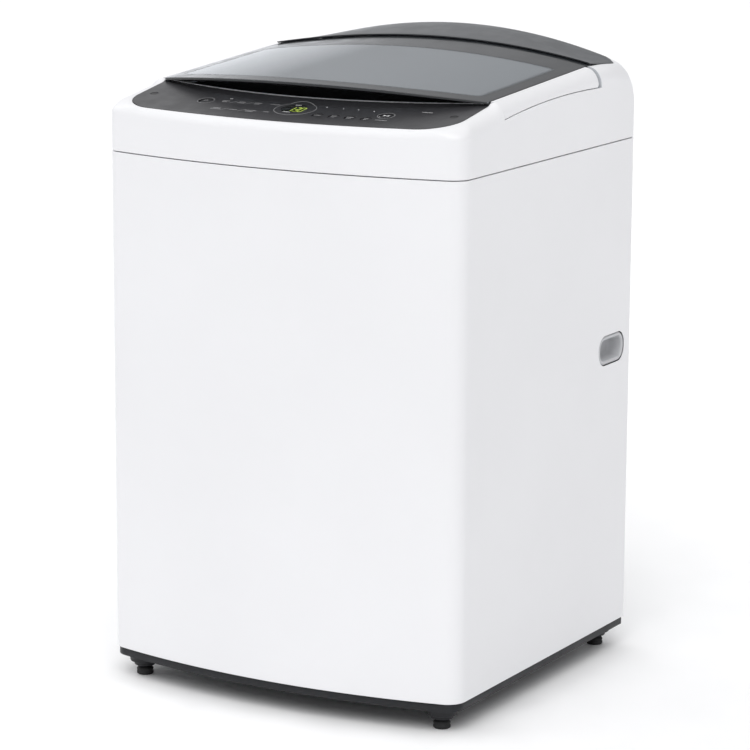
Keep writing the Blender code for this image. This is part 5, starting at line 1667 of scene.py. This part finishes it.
def basket_floor():
    """The basket's ribbed floor, with a hub for the spin shaft."""
    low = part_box("basket_base")[0].z + 0.010
    rim = BASKET_RADIUS - 0.0002
    profile = [(rim, low + 0.0128), (rim, low + 0.006)]
    profile += arc((rim - 0.006, low + 0.006), 0.006, 0, -60, 5)[1:]
    profile += [(rim - 0.014, low), (0.030, low), (0.025, low - 0.003), (0.022, low - 0.0095),
                (0.0210, low - 0.010), (0.0154, low - 0.010), (0.0154, low + 0.008),
                (0.200, low + 0.008), (0.2075, low + 0.0092), (0.2150, low + 0.0128)]
    disc = turned(profile, 144)
    rib = boxes(((0.032, -0.0010, low - 0.0045), (0.200, 0.0010, low + 0.001)), rounding=0.0004)
    add("basket_floor", joined(disc, *around(rib, 24)), LIGHT_PLASTIC, "basket",
        ["basket_base"], 40)


def balance():
    """The liquid-filled balance ring, smoothly rounded, with a fine moulded step."""
    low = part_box("balance_ring")[0].z
    profile = [(0.2352, low), (0.2360, low + 0.0008), (0.2360, low + 0.026)]
    profile += arc((0.2260, low + 0.026), 0.010, 0, 90, 8)[1:]
    profile += [(0.2140, low + 0.0360), (0.2135, low + 0.0352), (0.2125, low + 0.0352),
                (0.2120, low + 0.0360)]
    profile += arc((0.1980, low + 0.028), 0.008, 90, 180, 8)
    profile += [(0.1900, low + 0.0200), (0.1904, low + 0.0195), (0.1904, low + 0.0185),
                (0.1900, low + 0.0180), (0.1900, low + 0.007)]
    profile += arc((0.1970, low + 0.007), 0.007, 180, 270, 6)[1:]
    add("balancer", turned(profile, 192), LIGHT_PLASTIC, "basket", ["balance_ring"], 40)


def agitator():
    """The pulsator: a dished disc with six swept vanes, a domed cap, and ribs underneath."""
    low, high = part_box("pulsator")
    start, reach = 0.020, 0.165
    rows = []
    steps = 240
    for r in even(start, reach, 56):
        row = []
        share = (r - start) / (reach - start)
        for i in range(steps):
            a = 2 * math.pi * i / steps
            swept = a - 0.55 * share**1.5
            wave = 0.5 + 0.5 * math.cos(6 * swept)
            vane = wave**6 * smooth_step(0.0, 0.20, share) * smooth_step(1.0, 0.90, share)
            rise = 0.018 * smooth_step(0.22, 0.0, share)
            base = low.z + 0.0125 + 0.0065 * smooth_step(0.80, 1.0, share) + rise
            level = base + (low.z + 0.0300 - base) * vane if share > 0.15 else base + 0.004 * vane
            row.append((r * math.cos(a), r * math.sin(a), min(level, high.z - 0.0006)))
        rows.append(row)
    rows.append([(x, y, z - 0.0050) for x, y, z in rows[-1]])
    disc = skin(rows, 0.0022, True, 0)
    add("pulsator_disc", disc, LIGHT_PLASTIC, "pulsator", ["pulsator"], 50)
    hub = [(0.0, high.z - 0.0002), (0.008, high.z - 0.0005), (0.0150, high.z - 0.0018),
           (0.0205, high.z - 0.0045), (0.0225, low.z + 0.0260), (0.0225, low.z + 0.004),
           (0.0090, low.z + 0.0006), (0.0090, low.z + 0.0085), (0.0, low.z + 0.0100)]
    rib = boxes(((0.020, -0.0010, low.z + 0.0030), (0.150, 0.0010, low.z + 0.0125)), rounding=0.0004)
    data = joined(turned(hub, 96, closed=False), *around(rib, 12))
    add("pulsator_hub", data, GREY_PLASTIC, "pulsator")


def lint_filter(name):
    """A pocket filter: a rounded frame with a deep top bar, and crossed slats."""
    low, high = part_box(name)
    frame_bars = boxes(((low.x, low.y, low.z), (high.x, low.y + 0.008, high.z)),
                       ((low.x, high.y - 0.008, low.z), (high.x, high.y, high.z)),
                       ((low.x, low.y, low.z), (high.x, high.y, low.z + 0.012)),
                       ((low.x, low.y, high.z - 0.018), (high.x, high.y, high.z)), rounding=0.0035,
                       segments=3)
    depth_low, depth_high = low.x + 0.0045, high.x - 0.0045
    slats = [((depth_low, low.y + 0.004, z - 0.0008), (depth_high, high.y - 0.004, z + 0.0008))
             for z in even(low.z + 0.020, high.z - 0.026, 26)]
    uprights = [((depth_low + 0.001, y - 0.0008, low.z + 0.006),
                 (depth_high - 0.001, y + 0.0008, high.z - 0.012))
                for y in even(low.y + 0.016, high.y - 0.016, 5)]
    add(name + "_frame", frame_bars, LIGHT_PLASTIC, name.replace("lint_", ""), [name])
    add(name + "_mesh", boxes(*slats, *uprights, rounding=0.0003), GREY_PLASTIC, name.replace("lint_", ""))


# ---------------------------------------------------------------- water, drain and electrics


def dispenser():
    """The dispenser's housing, and its drawer with two compartments and a siphon cap."""
    low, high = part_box("dispenser_housing")
    wall = 0.0025
    outer = boxes((low, high), rounding=0.0015)
    space = boxes(((low.x + wall, low.y - 0.02, low.z + wall),
                   (high.x - wall, high.y - wall, high.z - wall)), rounding=0.0010)
    fall = boxes(((low.x + 0.02, low.y + 0.008, low.z - 0.01), (high.x - 0.02, low.y + 0.020, low.z + 0.01)),
                 rounding=0.0010)
    add("dispenser_box", boolean(outer, "DIFFERENCE", space, fall), GREY_PLASTIC, "root",
        ["dispenser_housing"])
    low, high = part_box("detergent_drawer")
    middle = (low.x + high.x) / 2
    body = boxes((low, high), rounding=0.0014)
    spaces = []
    for x0, x1 in ((low.x + 0.002, middle - 0.001), (middle + 0.001, high.x - 0.002)):
        spaces.append(boxes(((x0, low.y + 0.004, low.z + 0.002), (x1, high.y - 0.002, high.z + 0.02)),
                            rounding=0.003, segments=4))
    pull = boxes(((middle - 0.028, low.y - 0.01, low.z + 0.020),
                  (middle + 0.028, low.y + 0.0025, low.z + 0.028)), rounding=0.0012)
    add("drawer_tray", boolean(body, "DIFFERENCE", *spaces, pull), WHITE_PLASTIC, "drawer",
        ["detergent_drawer"])
    x = middle + 0.030
    cap = boxes(((x - 0.018, high.y - 0.030, low.z + 0.006), (x + 0.018, high.y - 0.006, low.z + 0.016)),
                rounding=0.003)
    add("drawer_siphon", cap, BLUE_PLASTIC, "drawer")


def pump():
    """The drain pump on its foot, with its nozzle and neck."""
    low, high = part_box("drain_pump")
    body = turned([(0.0, 0.068), (0.0215, 0.068), (0.0240, 0.0655), (0.0240, 0.044), (0.0232, 0.0432),
                   (0.0232, 0.0418), (0.0240, 0.0410), (0.0240, 0.0025), (0.0215, 0.0), (0.0, 0.0)], 64,
                  closed=False, place=along_y(PUMP.x, PUMP.y - 0.034, PUMP.z))
    nozzle = turned([(0.0, 0.006), (0.0108, 0.006), (0.0120, 0.0048), (0.0120, -0.002), (0.0, -0.002)], 48,
                    closed=False, place=along_y(PUMP.x, PUMP.y + 0.034, PUMP.z))
    neck_y = 0.171
    neck = turned([(0.0, high.z), (0.0150, high.z), (0.0160, high.z - 0.001), (0.0160, PUMP.z),
                   (0.0, PUMP.z)], 48, closed=False, place=Matrix.Translation((SUMP_X, neck_y, 0.0)))
    foot = boxes(((PUMP.x - 0.026, PUMP.y - 0.030, low.z), (PUMP.x + 0.026, PUMP.y + 0.030, low.z + 0.006)),
                 ((PUMP.x - 0.018, PUMP.y - 0.028, low.z + 0.003),
                  (PUMP.x - 0.014, PUMP.y + 0.028, PUMP.z - 0.008)),
                 ((PUMP.x + 0.014, PUMP.y - 0.028, low.z + 0.003),
                  (PUMP.x + 0.018, PUMP.y + 0.028, PUMP.z - 0.008)), rounding=0.0012)
    add("pump_body", joined(body, nozzle, neck, foot), BLACK_PLASTIC, "root",
        ["drain_pump"], 40)


def bellows():
    """The pleated rubber between the tub's sump and the pump."""
    low, high = levels_of("pump_bellows")
    pleats = 7
    pitch = (high - low) / pleats
    outer = [(0.0132, high)]
    for i in range(pleats):
        z = high - pitch * i
        outer += [(0.0132, z - pitch * 0.18), (0.0170, z - pitch * 0.42), (0.0175, z - pitch * 0.50),
                  (0.0170, z - pitch * 0.58), (0.0132, z - pitch * 0.82)]
    outer.append((0.0132, low))
    inner = [(r - 0.0022, z) for r, z in reversed(outer)]
    data = turned(outer + inner, 48, place=Matrix.Translation((SUMP_X, SUMP_Y, 0.0)))
    made = linked("sump_bellows", data)
    dress(made, RUBBER, 50)
    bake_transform(made)
    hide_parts("pump_bellows")


def drain_hose():
    """The ribbed hose from the pump up to the outlet."""
    x, start_y = PUMP.x, PUMP.y + 0.0403
    turn_y, bend = 0.2585, 0.012
    points = [(x, start_y, PUMP.z)]
    points += [(x, y, z) for y, z in arc((turn_y - bend, PUMP.z + bend), bend, -90, 0, 12)]
    points += [(x, turn_y, z) for z in even(0.092, 0.158, 22)]
    points += [(x, y, z) for y, z in arc((turn_y + bend, OUTLET_Z - bend), bend, 180, 90, 12)]
    points.append((x, BACK_Y - 0.0065, OUTLET_Z))
    hose = pipe(points, 0.0086, 5)
    hoops = []
    for z in even(0.096, 0.154, 14):
        hoops.append(turned([(0.0084, 0.0010), (0.0094, 0.0004), (0.0094, -0.0004), (0.0084, -0.0010)], 32,
                            place=Matrix.Translation((x, turn_y, z))))
    add("drain_hose", joined(hose, *hoops), RUBBER, "root", ["drain_pipe"], 50)


def electrics():
    """Control board tray, level sensor and lid lock."""
    data = bpy.data.objects["control_board"].data.copy()
    add("board_tray", settled(bevel(helper(data), 0.0012)), CIRCUIT, "root", ["control_board"])
    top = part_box("pressure_sensor")[1].z
    profile = [(0.0, top), (0.0230, top), (0.0240, top - 0.001), (0.0240, top - 0.0060),
               (0.0234, top - 0.0066), (0.0234, top - 0.0074), (0.0240, top - 0.0080),
               (0.0240, top - 0.0130), (0.0230, top - 0.0145), (0.0180, top - 0.0200),
               (0.0042, top - 0.0200), (0.0032, top - 0.0220), (0.0037, top - 0.0290),
               (0.0028, top - 0.0340), (0.0, top - 0.0340)]
    add("level_sensor", turned(profile, 64, closed=False, place=Matrix.Translation((0.150, 0.236, 0.0))),
        BLACK_PLASTIC, "root", ["pressure_sensor"], 40)
    low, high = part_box("lid_lock")
    body = boxes((low, high), rounding=0.002)
    slot = boxes(((low.x + 0.011, low.y + 0.014, high.z - 0.008),
                  (high.x - 0.011, high.y - 0.018, high.z + 0.01)), rounding=0.001)
    ears = boxes(((low.x + 0.002, low.y + 0.004, low.z + 0.006),
                  (high.x - 0.002, high.y - 0.004, low.z + 0.010)), rounding=0.001)
    add("lid_latch", joined(boolean(body, "DIFFERENCE", slot), ears), BLACK_PLASTIC, "root",
        ["lid_lock"])


# ---------------------------------------------------------------- build

cabinet_panel()
for end, end_side in ENDS:
    hand_grip(f"hand_grip_{end}", end_side)
base_tray()
for foot, foot_x, foot_y in FEET:
    levelling_foot(foot, foot_x, foot_y)
cover_shell()
cover_inside()
deck()
fascia()
display()
panel_prints()
keys()
trim()
recess()
lid_glass()
border_print()
border_dots()
under_frame()
for end, end_side in ENDS:
    side_cap(f"lid_side_{end}", end_side)
    hinge_pin(f"lid_hinge_pin_{end}")
rear_sheet()
for (valve, valve_x), valve_look in zip(VALVES, (BLUE_PLASTIC, RED_PLASTIC)):
    inlet_valve(valve, valve_x, valve_look)
outlet()
tub()
tub_top()
bearing()
stator()
rotor()
shafts()
suspension()
basket()
basket_floor()
balance()
agitator()
lint_filter("lint_filter_left")
lint_filter("lint_filter_right")
dispenser()
pump()
bellows()
drain_hose()
electrics()

# ---------------------------------------------------------------- stage


def floor():
    """A pale studio floor that fades into the white surround."""
    n = Nodes("studio_floor")
    n.to("Base Color", n.tint(n.noise(1.5), (0.955, 0.955, 0.958), (0.97, 0.97, 0.972)))
    n.to("Roughness", n.spread(n.noise(12.0), 0.5, 0.7))
    n.to("Normal", n.relief(n.noise(180.0), 0.00002))
    corners = [(-30, -30, 0), (30, -30, 0), (30, 30, 0), (-30, 30, 0)]
    ground = linked("studio_ground", mesh_of(corners, [(0, 1, 2, 3)]))
    ground.data.materials.append(n.material)


def light(name, place, target, size, power):
    data = bpy.data.lights.new(name, "AREA")
    data.shape = "RECTANGLE"
    data.size, data.size_y = size
    data.energy = power
    made = linked(name, data)
    made.location = place
    made.rotation_euler = (Vector(target) - Vector(place)).to_track_quat("-Z", "Y").to_euler()


def sun(name, towards, strength, spread):
    data = bpy.data.lights.new(name, "SUN")
    data.energy = strength
    data.angle = math.radians(spread)
    made = linked(name, data)
    made.rotation_euler = Vector(towards).to_track_quat("Z", "Y").to_euler()


def camera():
    """A long lens from the machine's front right, a little above it."""
    azimuth, elevation, roll = (math.radians(a) for a in (30.04, 11.915, 0.2925))
    back = Vector((math.sin(azimuth) * math.cos(elevation), -math.cos(azimuth) * math.cos(elevation),
                   math.sin(elevation)))
    right = Vector((math.cos(azimuth), math.sin(azimuth), 0.0))
    up = back.cross(right)
    turned_right = right * math.cos(roll) + up * math.sin(roll)
    turned_up = up * math.cos(roll) - right * math.sin(roll)
    data = bpy.data.cameras.new("camera")
    data.lens = 157.5
    data.sensor_width = 36.0
    made = linked("camera", data)
    made.matrix_world = Matrix.Translation((2.4151, -4.1693, 1.4601)) @ Matrix(
        (turned_right, turned_up, back)).transposed().to_4x4()
    bpy.context.scene.camera = made


def world():
    """A studio surround: dim near the horizon, bright overhead, with a low white backdrop behind."""
    made = bpy.data.worlds.new("studio")
    made.use_nodes = True
    tree = made.node_tree
    way = tree.nodes.new("ShaderNodeTexCoord").outputs["Generated"]
    parts = tree.nodes.new("ShaderNodeSeparateXYZ")
    tree.links.new(way, parts.inputs["Vector"])
    ramp = tree.nodes.new("ShaderNodeValToRGB")
    ramp.color_ramp.elements[0].position = 0.10
    ramp.color_ramp.elements[0].color = (0.24, 0.245, 0.255, 1.0)
    ramp.color_ramp.elements[1].position = 0.75
    ramp.color_ramp.elements[1].color = (0.80, 0.80, 0.805, 1.0)
    tree.links.new(parts.outputs["Z"], ramp.inputs["Fac"])

    def share(axis, start, end, low, high):
        made = tree.nodes.new("ShaderNodeMapRange")
        for key, value in zip(("From Min", "From Max", "To Min", "To Max"), (start, end, low, high)):
            made.inputs[key].default_value = value
        tree.links.new(parts.outputs[axis], made.inputs["Value"])
        return made.outputs["Result"]

    def total(kind, *values):
        made = tree.nodes.new("ShaderNodeMath")
        made.operation = kind
        for value, socket in zip(values, made.inputs):
            tree.links.new(value, socket)
        return made.outputs["Value"]

    backdrop = total("MULTIPLY", share("Z", 0.05, 0.20, 3.4, 0.0), share("Y", 0.50, 0.80, 0.0, 1.0))
    strength = total("ADD", share("X", -0.90, -0.35, 2.6, 1.0), backdrop)
    tree.links.new(ramp.outputs["Color"], tree.nodes["Background"].inputs["Color"])
    tree.links.new(strength, tree.nodes["Background"].inputs["Strength"])
    bpy.context.scene.world = made


floor()
world()
camera()
sun("key_light", (0.25, -0.58, 0.78), 1.35, 50.0)
light("corner_softbox", (3.4, -2.4, 1.6), (0.25, -0.25, 0.5), (0.5, 2.6), 9)
bpy.context.scene.view_settings.view_transform = "Standard"
bpy.context.view_layer.update()
